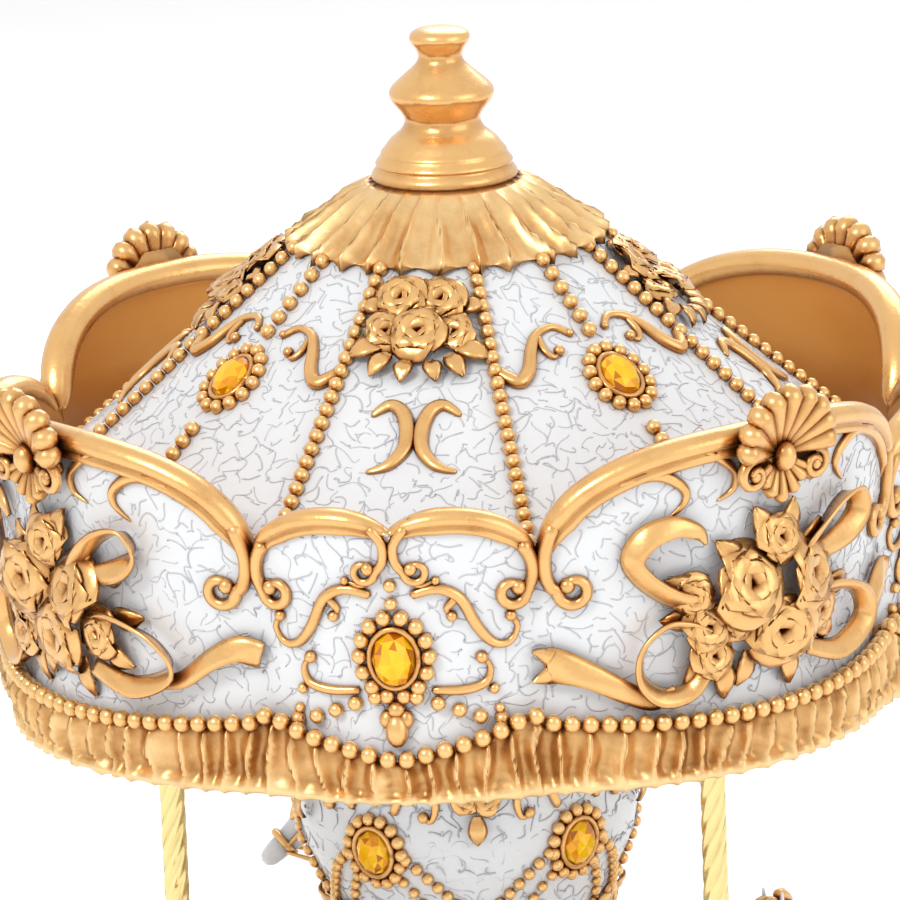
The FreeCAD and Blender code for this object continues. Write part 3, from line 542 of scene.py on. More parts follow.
# Brass poles: darker in the grooves of the twist, as painted shade.
TWIST_BRASS = shaded_and_worn("twisted_brass", ((0.0, (0.2, 0.11, 0.02)), (0.5, (0.62, 0.42, 0.11)), (1.0, (0.93, 0.76, 0.34))),
                   reach=0.0016, metallic=1.0, rough=(0.16, 0.28), coat=0.1, blotch=0.15, grain=0.1)
print("finishes on resin:", GOLD.name, PEARL.name)


# %% [markdown]
# ## Trees that repeat
# Beads, threads, gathers and petals repeat by the hundred, so Geometry Nodes make them. Each tree is
# built here with named inputs. `grow` runs a tree on a small source mesh and keeps only the plain mesh
# that comes out, so nothing live is left on a piece. Placing every bead by hand or with an array would
# work too, but an array can't follow a scalloped edge at an even pitch.

# %% Geometry tree helpers
def new_geometry_tree(name, inputs):
    tree = bpy.data.node_groups.new(name, "GeometryNodeTree")
    tree.interface.new_socket("Geometry", in_out="INPUT", socket_type="NodeSocketGeometry")
    for label, kind, value in inputs:
        socket = tree.interface.new_socket(label, in_out="INPUT", socket_type=kind)
        if value is not None:
            socket.default_value = value
    tree.interface.new_socket("Geometry", in_out="OUTPUT", socket_type="NodeSocketGeometry")
    return tree, tree.nodes.new("NodeGroupInput"), tree.nodes.new("NodeGroupOutput")


def read_attribute(tree, name, kind="FLOAT"):
    made = add(tree, "GeometryNodeInputNamedAttribute", {"data_type": kind}, Name=name)
    return next(socket for socket in made.outputs if socket.enabled and socket.name == "Attribute")


def finish_tree(tree, start, end, geometry):
    """Every tree ends the same way: realized, shaded smooth, with its material."""
    real = add(tree, "GeometryNodeRealizeInstances", Geometry=geometry)
    smooth = add(tree, "GeometryNodeSetShadeSmooth", Geometry=real.outputs["Geometry"])
    painted = add(tree, "GeometryNodeSetMaterial", Geometry=smooth.outputs["Geometry"],
                  Material=start.outputs["Material"])
    tree.links.new(painted.outputs["Geometry"], end.inputs["Geometry"])
    return tree


def grow(tree, source, **values):
    """Plain mesh that a tree makes from a source mesh."""
    helper = bpy.data.objects.new("helper", source)
    bpy.context.scene.collection.objects.link(helper)
    modifier = helper.modifiers.new("tree", "NODES")
    modifier.node_group = tree
    for item in tree.interface.items_tree:
        label = item.name.replace(" ", "_")
        if item.in_out == "INPUT" and label in values:
            modifier[item.identifier] = values[label]
    evaluated = helper.evaluated_get(bpy.context.evaluated_depsgraph_get())
    mesh = bpy.data.meshes.new_from_object(evaluated)
    helper.modifiers.remove(modifier)
    bpy.data.objects.remove(helper)
    return mesh


def point_mesh(name, points, edges=(), faces=(), **attributes):
    """Points, lines or faces with an attribute per point; 3 numbers make a vector attribute."""
    mesh = bpy.data.meshes.new(name)
    mesh.from_pydata(points, list(edges), list(faces))
    for label, values in attributes.items():
        vector = len(values) > 0 and hasattr(values[0], "__len__")
        made = mesh.attributes.new(label, "FLOAT_VECTOR" if vector else "FLOAT", "POINT")
        flat = [v for value in values for v in value] if vector else values
        made.data.foreach_set("vector" if vector else "value", flat)
    return mesh


def spin(tree, rotation, angle):
    """A rotation with a further turn about its own Z."""
    about_z = add(tree, "ShaderNodeCombineXYZ", Z=angle)
    turn = add(tree, "FunctionNodeEulerToRotation", Euler=about_z.outputs[0])
    spun = add(tree, "FunctionNodeRotateRotation", {"rotation_space": "LOCAL"}, Rotation=rotation,
               **{"Rotate By": turn.outputs[0]})
    return spun.outputs[0]


# %% [markdown]
# ### Beads
# A bead row starts as a bare line on the surface. The tree makes it a curve, cuts it into steps of one
# pitch and puts a ball at each step. The ball's size is a value carried by the line, so rings round the
# stones and the rows on the ribs can share one tree.

# %% Bead tree and bead rows
def bead_tree():
    tree, start, end = new_geometry_tree("bead_row", (
        ("Pitch", "NodeSocketFloat", 0.0035), ("Material", "NodeSocketMaterial", None)))
    curve = add(tree, "GeometryNodeMeshToCurve", Mesh=start.outputs["Geometry"])
    steps = add(tree, "GeometryNodeResampleCurve", {"mode": "LENGTH"}, Curve=curve.outputs["Curve"],
                Length=start.outputs["Pitch"])
    bead = add(tree, "GeometryNodeMeshUVSphere", Segments=10, Rings=6, Radius=1.0)
    placed = add(tree, "GeometryNodeInstanceOnPoints", Points=steps.outputs["Curve"],
                 Instance=bead.outputs["Mesh"], Scale=read_attribute(tree, "size"))
    return finish_tree(tree, start, end, placed.outputs["Instances"])


BEADS = bead_tree()


class BeadRows:
    """Lines along which beads of one pitch are strung."""

    def __init__(self, pitch):
        self.pitch = pitch
        self.points, self.edges, self.sizes = [], [], []

    def add(self, surface, path, radius, lift, closed):
        start, count = len(self.points), len(path)
        self.points += [surface(off, z, lift * radius) for off, z in path]
        self.sizes += [radius * MM] * count
        self.edges += [(start + k, start + (k + 1) % count) for k in range(count if closed else count - 1)]

    def row(self, surface, keys, radius, lift=0.4, steps=5):
        self.add(surface, smooth_path(keys, steps), radius, lift, False)

    def ring(self, surface, off, z, half_width, half_height, radius):
        """Closed oval of beads round a stone, sized in mm."""
        self.add(surface, oval(surface, off, z, half_width, half_height, 24), radius, 0.4, True)

    def mesh(self):
        source = point_mesh("bead_lines", self.points, self.edges, size=self.sizes)
        return grow(BEADS, source, Pitch=self.pitch * MM, Material=BEAD_GOLD)


def join_meshes(meshes, name):
    """One mesh of several, with their materials kept."""
    objects = []
    for mesh in meshes:
        part = bpy.data.objects.new(name, mesh)
        bpy.context.scene.collection.objects.link(part)
        objects.append(part)
    with bpy.context.temp_override(active_object=objects[0], selected_editable_objects=objects,
                                   selected_objects=objects, object=objects[0]):
        bpy.ops.object.join()
    joined = objects[0].data
    bpy.data.objects.remove(objects[0])
    joined.name = name
    return joined


def gild(meshes, name, body="carousel", replaced=()):
    """Joins gold meshes into one piece and places it."""
    return place(join_meshes(meshes, name), name, body, "gold_resin", replaced)


# %% [markdown]
# ### Threads
# The white ground is covered in short grey squiggles. They could be painted by a texture, but real
# strands stay crisp from near and throw tiny shadows. Points are scattered at an even spacing, a short
# line is laid at each, a noise bends all lines the same way so that neighbours rarely cross, and a thin
# three-sided section makes them solid.

# %% Thread tree
def thread_tree():
    tree, start, end = new_geometry_tree("threads", (
        ("Spacing", "NodeSocketFloat", 0.0022), ("Length", "NodeSocketFloat", 0.004),
        ("Thickness", "NodeSocketFloat", 0.0002), ("Wiggle", "NodeSocketFloat", 0.003),
        ("Seed", "NodeSocketInt", 1), ("Material", "NodeSocketMaterial", None)))
    spread = add(tree, "GeometryNodeDistributePointsOnFaces", {"distribute_method": "POISSON"},
                 Mesh=start.outputs["Geometry"], Seed=start.outputs["Seed"])
    tree.links.new(start.outputs["Spacing"], spread.inputs["Distance Min"])
    spread.inputs["Density Max"].default_value = 600000.0
    kept = add(tree, "GeometryNodeStoreNamedAttribute", {"data_type": "FLOAT_VECTOR", "domain": "POINT"},
               Geometry=spread.outputs["Points"], Name="up", Value=spread.outputs["Normal"])
    here = add(tree, "GeometryNodeInputPosition")
    turning = add(tree, "ShaderNodeTexNoise", Vector=here.outputs[0], Scale=130.0, Detail=0.0)
    angle = maths(tree, "MULTIPLY", turning.outputs["Fac"], 18.0)
    near, far = (add(tree, "ShaderNodeCombineXYZ", X=maths(tree, "MULTIPLY", start.outputs["Length"], share))
                 for share in (-0.5, 0.5))
    line = add(tree, "GeometryNodeCurvePrimitiveLine", Start=near.outputs[0], End=far.outputs[0])
    bent = add(tree, "GeometryNodeResampleCurve", {"mode": "COUNT"}, Curve=line.outputs["Curve"], Count=9)
    laid = add(tree, "GeometryNodeInstanceOnPoints", Points=kept.outputs["Geometry"],
               Instance=bent.outputs["Curve"], Rotation=spin(tree, spread.outputs["Rotation"], angle))
    real = add(tree, "GeometryNodeRealizeInstances", Geometry=laid.outputs["Instances"])
    now = add(tree, "GeometryNodeInputPosition")
    noise = add(tree, "ShaderNodeTexNoise", Vector=now.outputs[0], Scale=360.0, Detail=0.0)
    centred = add(tree, "ShaderNodeVectorMath", {"operation": "SUBTRACT"}, i0=noise.outputs["Color"],
                  i1=(0.5, 0.5, 0.5))
    grown = add(tree, "ShaderNodeVectorMath", {"operation": "SCALE"}, i0=centred.outputs[0],
                Scale=start.outputs["Wiggle"])
    off_plane = add(tree, "ShaderNodeVectorMath", {"operation": "PROJECT"}, i0=grown.outputs[0],
                    i1=read_attribute(tree, "up", "FLOAT_VECTOR"))
    in_plane = add(tree, "ShaderNodeVectorMath", {"operation": "SUBTRACT"}, i0=grown.outputs[0],
                   i1=off_plane.outputs[0])
    moved = add(tree, "GeometryNodeSetPosition", Geometry=real.outputs["Geometry"], Offset=in_plane.outputs[0])
    section = add(tree, "GeometryNodeCurvePrimitiveCircle", Resolution=3, Radius=start.outputs["Thickness"])
    solid = add(tree, "GeometryNodeCurveToMesh", Curve=moved.outputs["Geometry"],
                **{"Profile Curve": section.outputs["Curve"], "Fill Caps": True})
    return finish_tree(tree, start, end, solid.outputs["Mesh"])


THREADS = thread_tree()
THREAD_SPACING, THREAD_LENGTH, THREAD_RADIUS, THREAD_WIGGLE = 2.15, 3.2, 0.15, 6.5


def surface_patch(surface, step, heights):
    """Sheet right round a surface, for threads. heights(off) gives its lowest and highest z."""
    rows, count = 12, round(360 / step)
    points, faces = [], []
    for i in range(count + 1):
        low, high = heights(i * step)
        points += [surface(i * step, low + (high - low) * k / rows) for k in range(rows + 1)]
    for i in range(count):
        for k in range(rows):
            a = i * (rows + 1) + k
            faces.append((a, a + rows + 1, a + rows + 2, a + 1))
    return point_mesh("patch", points, faces=faces)


def threads_on(patch, name, body, seed):
    mesh = grow(THREADS, patch, Spacing=THREAD_SPACING * MM, Length=THREAD_LENGTH * MM, Seed=seed,
                Thickness=THREAD_RADIUS * MM, Wiggle=THREAD_WIGGLE * MM, Material=THREAD)
    return place(mesh, name, body, "white_resin")


# %% [markdown]
# ## The parapet
# The ring wall leans out, follows the bays and has a scalloped top. Its outside is pearl white with
# threads, its inside is plain satin gold. One grid gives all four sides, so the wall is a closed shell
# with a true thickness.

# %% Parapet wall
def fringe_row_z(off):
    """Height of the bead row on top of the fringe: it dips to a point under each double arch."""
    angle = from_double_arch(off)
    if angle < 15.0:
        return 186.0 - 7.2 * (1 - angle / 15.0) ** 0.75
    if angle < NOTCH_OFF:
        return 186.0
    return 184.6 - 2.6 * math.sin(math.pi / 2 * (angle - NOTCH_OFF) / 28.0)


def flare(z):
    """How far the foot of the wall stands out, to meet the fringe."""
    share = min(1.0, max(0.0, (192.0 - z) / 13.0))
    return 2.2 * share * share


def parapet_wall():
    heap = Heap()
    rows, turns = 20, 720
    for i in range(turns):
        off = i * 360 / turns - NOTCH_OFF
        top, foot = crest_z(off) - RIM_T + 0.8, fringe_row_z(off) - 2.0
        heights = [foot + (top - foot) * k / rows for k in range(rows + 1)]
        heap.points += [on_wall(off, z, flare(z)) for z in heights]
        heap.points += [on_wall(off, z, -WALL_T) for z in heights[::-1]]
    count = 2 * (rows + 1)
    heap.faces = tube_faces(turns, count, wrap=True)
    heap.make("canopy_wall", [PEARL, INNER_GOLD], "carousel", "white_resin", ["parapet"],
              [0 if k < rows else 1 for k in range(count)] * turns)


parapet_wall()


def on_flared_wall(off, z, lift=0.0):
    return on_wall(off, z, lift + flare(z))


wall_patch = surface_patch(on_flared_wall, 1.5, lambda off: (fringe_row_z(off) + 1.0, crest_z(off) - 3.0))
threads_on(wall_patch, "canopy_threads", "carousel", 3)
threads_on(surface_patch(on_dome, 3.0, lambda off: (212.0, 258.5)), "dome_threads", "carousel", 5)

# %% [markdown]
# ## The moulding on the crest
# Each arch is one strand of gold moulding: a fat roll with a thinner one under it. Where two arches
# meet, the moulding goes on downwards and curls into a volute with a ball in it. The roll is swept
# along the crest with its section turned by the wall's normal.

# %% Crest moulding, volutes and leaf curls
ROLL = ((-4.2, -4.6), (-4.3, -2.6), (-3.7, -1.0), (-2.4, -0.1), (-0.8, 0.25), (0.7, 0.0), (1.8, -0.9), (2.1, -2.0),
        (1.7, -3.0), (1.0, -3.5), (1.4, -4.0), (1.6, -4.7), (1.1, -5.4), (0.2, -5.7), (-1.0, -5.4))
STRETCHES = ((-NOTCH_OFF, 0.0), (0.0, NOTCH_OFF), (NOTCH_OFF, 90.0 - NOTCH_OFF))
DEGREE = math.radians(1) * 93.0


def crest_path(start, end):
    """Evenly spaced (off, z) points along the crest between two corners."""
    raw = []
    for k in range(401):
        off = start + (end - start) * (1 - math.cos(math.pi * k / 400)) / 2
        raw.append((off, crest_z(off if start < off < end else (off + (1e-6 if off <= start else -1e-6)))))
    lengths = [0.0]
    for a, b in zip(raw, raw[1:]):
        lengths.append(lengths[-1] + math.hypot((b[0] - a[0]) * DEGREE, b[1] - a[1]))
    count = int(lengths[-1] / 0.9)
    path, j = [], 0
    for k in range(count + 1):
        goal = lengths[-1] * k / count
        while j < len(lengths) - 2 and lengths[j + 1] < goal:
            j += 1
        share = (goal - lengths[j]) / max(1e-9, lengths[j + 1] - lengths[j])
        path.append(tuple(a + (b - a) * share for a, b in zip(raw[j], raw[j + 1])))
    return path


def sweep_roll(heap, path, full):
    """Moulding along a path; full is its size, which shrinks to half towards both corners."""
    points = []
    for i, (off, z) in enumerate(path):
        before, after = path[max(i - 1, 0)], path[min(i + 1, len(path) - 1)]
        ahead = (on_wall(*after) - on_wall(*before)).normalized()
        out = facing(on_wall, off, z)
        upward = out.cross(ahead).normalized()
        if upward.z < 0 and abs(upward.z) > 0.05:
            upward = -upward
        edge = min(i, len(path) - 1 - i) * 0.9
        size = full * (0.5 + 0.5 * min(1.0, edge / 9.0) ** 0.7)
        depth = min(1.0, size + 0.2)
        points += [on_wall(off, z) + (out * (x * size if x > 0 else x * depth) + upward * y * size) * MM
                   for x, y in ROLL]
    faces = tube_faces(len(path), len(ROLL)) + flat_ends(len(path), len(ROLL))
    heap.add(points, [face[::-1] for face in faces])


def volute(heap, keys, off, z, radius, side, width=1.45, end=1.55):
    """Strand that comes down through keys and curls in round (off, z); side is -1 if it comes on the left."""
    steps, curl = 9, []
    for k in range(steps + 1):
        t = k / steps
        r = radius * (1 - 0.5 * t)
        a = math.radians((180 if side < 0 else 0) - side * 324 * t)
        curl.append((off + r * math.cos(a) / DEGREE, z + r * math.sin(a)))
    strand(heap, on_wall, keys + curl, width, width, 0.6, lambda t: 1.0 - 0.35 * t, steps=3)
    ball(heap, on_wall(*curl[-1], 0.6), end, sides=10, rings=6)


def leaf_curl(heap, keys, width=1.3):
    strand(heap, on_wall, keys, width, 1.0, 0.5, taper_tail, steps=7)


crest = Heap()
for q in QUARTERS:
    for start, end in STRETCHES:
        sweep_roll(crest, [(q + off, z) for off, z in crest_path(start, end)], 0.8 if end < 20 else 1.0)
    for side in (-1, 1):
        notch = q + side * NOTCH_OFF
        volute(crest, mirrored(notch, side, (-1.7, 219.6), (-0.7, 216.6), (-0.5, 213.4)),
               q + side * 14.0, 210.4, 2.9, side)
        volute(crest, mirrored(notch, side, (1.9, 222.6), (0.9, 217.6), (0.9, 213.4), (1.6, 210.6)),
               q + side * 21.3, 209.8, 3.3, -side, 1.55, end=1.6)
        volute(crest, mirrored(q, side, (1.9, 224.2), (0.6, 221.0), (0.7, 217.6)),
               q + side * 3.0, 215.6, 2.3, -side, 1.05, end=1.35)
        leaf_curl(crest, mirrored(q, side, (26.4, 230.0), (30.5, 231.0), (33.6, 228.2), (34.0, 225.0),
                                  (32.0, 221.9)))
        leaf_curl(crest, mirrored(q + 45, side, (9.0, 235.0), (5.2, 230.2), (5.0, 226.4), (7.0, 224.2)), 1.0)
crest.make("crest_roll", [GOLD], "carousel", "gold_resin", ["crest_moulding"])

# %% [markdown]
# ## Gathered cloth
# The fringe under the canopy and the skirt on top of the dome are strips of gold cloth drawn up on a
# thread, cast in resin. A smooth ring is modelled first. The tree then pushes it in and out with a wave
# round the ring, disturbed by noise so that no two folds are alike, more towards the loose hem.

# %% Gather tree
def gather_tree():
    tree, start, end = new_geometry_tree("gathers", (
        ("Folds", "NodeSocketFloat", 60.0), ("Depth", "NodeSocketFloat", 0.001),
        ("Unevenness", "NodeSocketFloat", 3.0), ("Material", "NodeSocketMaterial", None)))
    here = add(tree, "GeometryNodeInputPosition").outputs[0]
    noise = add(tree, "ShaderNodeTexNoise", Vector=here, Scale=70.0, Detail=2.0)
    phase = maths(tree, "MULTIPLY", noise.outputs["Fac"], start.outputs["Unevenness"])
    wave = maths(tree, "SINE", maths(tree, "MULTIPLY_ADD", read_attribute(tree, "around"),
                                     start.outputs["Folds"], phase))
    crease = maths(tree, "POWER", maths(tree, "ABSOLUTE", wave), 0.7)
    crumple = add(tree, "ShaderNodeTexNoise", Vector=here, Scale=300.0, Detail=2.0)
    mixed = maths(tree, "MULTIPLY_ADD", crumple.outputs["Fac"], 0.5, crease)
    amount = maths(tree, "MULTIPLY", maths(tree, "SUBTRACT", mixed, 0.85), read_attribute(tree, "loose"))
    reach = maths(tree, "MULTIPLY", amount, start.outputs["Depth"])
    offset = add(tree, "ShaderNodeVectorMath", {"operation": "SCALE"}, Scale=reach,
                 i0=add(tree, "GeometryNodeInputNormal").outputs[0])
    moved = add(tree, "GeometryNodeSetPosition", Geometry=start.outputs["Geometry"], Offset=offset.outputs[0])
    return finish_tree(tree, start, end, moved.outputs["Geometry"])


GATHERS = gather_tree()


def cloth_ring(surface, profile, sides, folds, depth, unevenness, name, replaced):
    """Closed ring of cloth. profile is (lift, height, looseness) points of its section, all round it."""
    points, angles, loose = [], [], []
    for i in range(sides):
        off = 360.0 * i / sides
        for lift, z, looseness in profile:
            points.append(surface(off, z, lift))
            angles.append(math.radians(off) / 2)
            loose.append(looseness)
    mesh = point_mesh(name, points, faces=tube_faces(sides, len(profile), wrap=True), around=angles, loose=loose)
    made = grow(GATHERS, mesh, Folds=float(folds), Depth=depth * MM, Unevenness=unevenness, Material=CLOTH_GOLD)
    return place(made, name, "carousel", "gold_resin", replaced)


# The heights of the fringe's section run from 0 at its lip to 1 at the bead row.
FRINGE = ((1.8, 1.0, 0.0), (2.6, 0.93, 0.3), (3.3, 0.84, 0.8), (3.7, 0.72, 1.0), (3.9, 0.6, 1.0), (3.8, 0.48, 1.0),
          (3.5, 0.36, 1.0), (3.3, 0.25, 0.9), (3.8, 0.16, 0.55), (4.4, 0.09, 0.3), (4.5, 0.02, 0.3),
          (3.8, -0.03, 0.2), (2.0, -0.04, 0.1), (-6.0, 0.0, 0.0), (-6.0, 0.5, 0.0), (-4.0, 0.98, 0.0))


def on_fringe(off, share, lift=0.0):
    top = fringe_row_z(off) - 0.6
    z = CEILING_Z + 0.3 + (top - CEILING_Z) * share
    return on_wall(off, z, lift)


cloth_ring(on_fringe, FRINGE, 1440, 112, 3.2, 5.0, "fringe_cloth", ["fringe"])


def on_skirt(off, z, lift=0.0):
    outline = ((255.0, 33.0), (258.2, 30.6), (259.4, 29.2), (261.8, 25.6), (264.3, 22.4), (266.7, 19.7),
               (268.0, 17.8), (270.4, 14.0))
    return polar(along(outline, z) + lift * 0.7, off + TURN, z + lift * 0.7)


SKIRT = ((0.2, 270.3, 0.0), (0.5, 269.3, 0.1), (0.6, 267.8, 0.35), (0.6, 266.0, 0.55), (0.6, 264.3, 0.7),
         (0.6, 262.6, 0.8), (0.6, 261.0, 0.9), (0.7, 259.8, 1.0), (0.8, 258.7, 1.0), (0.0, 258.0, 0.9),
         (-1.2, 258.6, 0.5), (-1.6, 262.0, 0.2), (-1.6, 268.0, 0.0))
cloth_ring(on_skirt, SKIRT, 720, 27, 3.0, 4.0, "skirt_cloth", ["dome_skirt"])

# %% [markdown]
# ## Stones
# The stones are oval glass cabochons cut with facets, with foil behind them: seen from the front each
# facet is a different amber. A real one is made by a mould; here rings of facets step up from the
# girdle to a flat table, and every facet gets a tone of its own, carried as a face attribute. The amber
# is the stone's colour; the change of tone from facet to facet, brighter on the table, is painted glint.

# %% Faceted stones
def amber_material():
    material, tree, shader = new_material("amber_stone")
    # Each facet's tone picks an amber from dark to bright: painted glints over the stone's own amber.
    tone = add(tree, "ShaderNodeAttribute", {"attribute_name": "tone"})
    colour = colour_ramp(tree, tone.outputs["Fac"], ((0.0, (0.4, 0.1, 0.0)), (0.3, (0.8, 0.28, 0.0)),
                                                     (0.6, (1.0, 0.46, 0.0)), (1.0, (1.0, 0.62, 0.0))))
    tree.links.new(colour, shader.inputs["Base Color"])
    shader.inputs["Roughness"].default_value = 0.08
    shader.inputs["Metallic"].default_value = 0.25
    shader.inputs["Coat Weight"].default_value = 0.4
    shader.inputs["Coat Roughness"].default_value = 0.02
    return material


AMBER = amber_material()
GEM_RINGS = ((1.0, 0.0), (1.0, 0.3), (0.84, 0.68), (0.58, 0.95))


def stones(name, body, places, surface, half_width, half_height, depth, replaced, seed):
    """Faceted ovals at (off, z) places of a surface."""
    luck = random.Random(seed)
    sides = 9
    points, faces, tones = [], [], []
    for off, z in places:
        out, across, upward = upright(surface, off, z)
        centre = surface(off, z)
        start = len(points)
        for i, (scale, rise) in enumerate(GEM_RINGS):
            for k in range(sides):
                a = 2 * math.pi * (k + 0.5 * (i % 2)) / sides
                points.append(centre + (across * half_width * scale * math.cos(a)
                                        + upward * half_height * scale * math.sin(a) + out * depth * rise) * MM)
        for i in range(len(GEM_RINGS) - 1):
            for k in range(sides):
                n = (k + 1) % sides
                a, b = start + i * sides + k, start + i * sides + n
                c, d = a + sides, b + sides
                faces += [(a, b, c), (b, d, c)] if i % 2 == 0 else [(a, b, d), (a, d, c)]
                # A random tone per facet: painted glints of light from the foil.
                tones += [luck.random(), luck.random()]
        top = start + (len(GEM_RINGS) - 1) * sides
        points.append(centre + out * depth * 1.03 * MM)
        for k in range(sides):
            faces.append((top + k, top + (k + 1) % sides, len(points) - 1))
            # The table's facets get the brighter tones: painted glints.
            tones.append(0.62 + 0.38 * luck.random())
        points.append(centre)
        for k in range(sides):
            faces.append((start + (k + 1) % sides, start + k, len(points) - 1))
            tones.append(0.3)
    mesh = bpy.data.meshes.new(name)
    mesh.from_pydata(points, [], faces)
    mesh.attributes.new("tone", "FLOAT", "FACE").data.foreach_set("value", tones)
    mesh.materials.append(AMBER)
    return place(mesh, name, body, "amber_stone", replaced)


stones("canopy_stones", "carousel", [(q, 198.6) for q in QUARTERS], on_wall, 4.1, 5.5, 4.0, ["canopy_gems"], 1)
stones("dome_stones", "carousel", [(q + 45, 238.4) for q in QUARTERS], on_dome, 3.9, 5.0, 3.2, ["dome_gems"], 2)
COLUMN_GEM_OFFS = [2.5 + 36.0 + 72.0 * k for k in range(5)]
stones("column_stones", "carousel", [(a, 141.5) for a in COLUMN_GEM_OFFS], on_column, 3.8, 4.7, 2.8,
       ["column_gems"], 3)
stones("base_stones", "base", [(q, 40.0) for q in QUARTERS], on_base, 4.4, 5.8, 3.4, ["base_gems"], 4)


def setting(heap, surface, off, z, half_width, half_height, width=0.75):
    """Plain gold ring that holds a stone."""
    path = oval(surface, off, z, half_width, half_height, 28, closed=True)
    centres = [surface(*place, 0.7) for place in path]
    sweep(heap, centres, [facing(surface, *place) for place in path], [width] * len(path),
          [0.9] * len(path), 6)


# %% [markdown]
# ## Beads on the canopy
# Rows of beads run down the dome as ribs, round its stones, along the top of the fringe, and hang in
# swags beside each stone of the parapet. Under the double arch the row dips to a point.

# %% Canopy beads
beads = BeadRows(3.45)
for q in QUARTERS:
    for start, stop, count in ((q - 16.4, q + 16.4, 20), (q + 18.4, q + 71.6, 16)):
        keys = [start + (stop - start) * k / count for k in range(count + 1)]
        beads.row(lambda off, z, lift=0.0: on_wall(off, z, lift + 2.5),
                  [(off, fringe_row_z(off)) for off in keys], 1.74, lift=0.6)
    beads.ring(on_wall, q, 198.8, 6.5, 8.1, 1.6)
    for side in (-1, 1):
        beads.row(on_flared_wall, mirrored(q, side, (12.4, 185.6), (10.0, 186.4), (7.0, 188.2), (4.0, 190.0),
                                           (2.4, 190.8)), 1.5, lift=0.6)
        beads.row(on_flared_wall, mirrored(q, side, (11.6, 191.6), (12.2, 187.6)), 1.1)
    beads.row(on_wall, [(q, 209.4), (q, 213.0)], 1.3, lift=0.5)

ribs = BeadRows(3.05)
for q in QUARTERS:
    for off, low in ((q - 17.5, 212.0), (q + 17.5, 212.0), (q + 45, 246.0)):
        ribs.row(on_dome, [(off, 257.6), (off, (257.6 + low) / 2), (off, low)], 1.55, lift=0.5)
    ribs.row(on_dome, [(q + 45, 230.0), (q + 45, 212.0)], 1.55, lift=0.5)
    ribs.ring(on_dome, q + 45, 238.4, 6.0, 7.2, 1.5)
gild([beads.mesh(), ribs.mesh()], "canopy_beads")

# %% [markdown]
# ## Scrolls, ribbons and shells
# The strands beside the stones are C and S scrolls that end in a ball. A ribbon is a wide flat strand
# that turns over in loops, with a notched tail. A shell is a fan of rounded flutes that start at an oval
# boss, with a volute at each side and a small fan below.

# %% Scroll work
def scroll(heap, surface, keys, width, end=1.2):
    """Strand through keys that ends in a ball."""
    strand(heap, surface, keys, width, width * 0.9, 0.5,
           lambda t: 0.55 + 0.45 * math.sin(math.pi * min(1, t + 0.2)), steps=4)
    ball(heap, surface(*keys[-1], 0.5), end)


scrolls = Heap()
for q in QUARTERS:
    setting(scrolls, on_wall, q, 198.6, 4.5, 5.9)
    setting(scrolls, on_dome, q + 45, 238.4, 4.2, 5.2)
    for side in (-1, 1):
        for surface, width, end, keys in (
                (on_wall, 1.15, 1.2, ((2.5, 211.1), (5.4, 212.1), (7.9, 210.0), (9.7, 204.5), (11.6, 200.8),
                                      (13.6, 200.6), (14.6, 203.4), (13.8, 205.8))),
                (on_wall, 0.85, 1.15, ((7.6, 210.4), (6.4, 208.2), (6.9, 206.6))),
                (on_flared_wall, 1.0, 1.3, ((4.4, 192.0), (8.0, 191.8), (10.6, 193.0), (11.2, 196.0), (10.2, 198.1))),
                (on_wall, 0.7, 0.9, ((1.9, 214.0), (3.6, 212.9), (5.2, 213.8))),
                (on_dome, 1.5, 0.9, ((17.8, 242.0), (20.1, 240.6), (22.6, 239.8), (25.4, 241.6), (27.4, 244.4),
                                     (30.4, 246.8), (35.6, 247.6), (39.4, 246.2))),
                (on_dome, 0.8, 1.15, ((30.4, 246.4), (30.6, 244.2), (32.4, 243.0), (34.2, 243.8)))):
            scroll(scrolls, surface, mirrored(q, side, *keys), width, end)
        strand(scrolls, on_dome, mirrored(q + 0.6, side, (8.6, 235.6), (7.4, 236.4), (5.2, 237.2), (2.8, 236.3),
                                          (1.4, 233.8), (1.5, 230.8), (3.4, 228.6), (5.2, 227.7), (7.4, 227.2)),
               1.6, 1.1, 0.4, lambda t: 0.3 + 0.7 * math.sin(math.pi * t) ** 0.8)
    ball(scrolls, on_flared_wall(q, 188.4, 0.8), 1.9)
    ball(scrolls, on_flared_wall(q, 184.6, 1.2), 2.3, stretch=Vector((0, 0, 3.4)), sides=12, rings=8)
    for side in (-1, 1):
        ball(scrolls, on_flared_wall(q + side * 1.1, 186.6, 1.0), 1.6, stretch=Vector((0, 0, 2.0)))
scrolls.make("canopy_scrolls", [GOLD], "carousel", "gold_resin")


RIBBON_SECTION = ((-1, -1), (-0.5, -0.4), (0, -0.2), (0.5, -0.4), (1, -1), (1, 0.6), (0.5, 1.2), (0, 1.5),
                  (-0.5, 1.2), (-1, 0.6))
RIBBON_LIFT, RIBBON_T = 1.2, 0.45


def ribbon(heap, surface, keys, width):
    """Flat band; a key is (off, z, lift, twist in degrees, share of the width)."""
    path = smooth_path(keys, 7)
    centres = [surface(off, z, RIBBON_LIFT + lift) for off, z, lift, _, _ in path]
    points = []
    for i, centre in enumerate(centres):
        ahead = (centres[min(i + 1, len(path) - 1)] - centres[max(i - 1, 0)]).normalized()
        out = facing(surface, path[i][0], path[i][1])
        side = ahead.cross(out).normalized()
        twist = math.radians(path[i][3])
        across = side * math.cos(twist) + out * math.sin(twist)
        face = across.cross(ahead).normalized()
        half = width * path[i][4] / 2
        points += [centre + (across * x * half + face * y * RIBBON_T) * MM for x, y in RIBBON_SECTION]
    size = len(path), len(RIBBON_SECTION)
    heap.add(points, tube_faces(*size) + [end[::-1] for end in flat_ends(*size)])


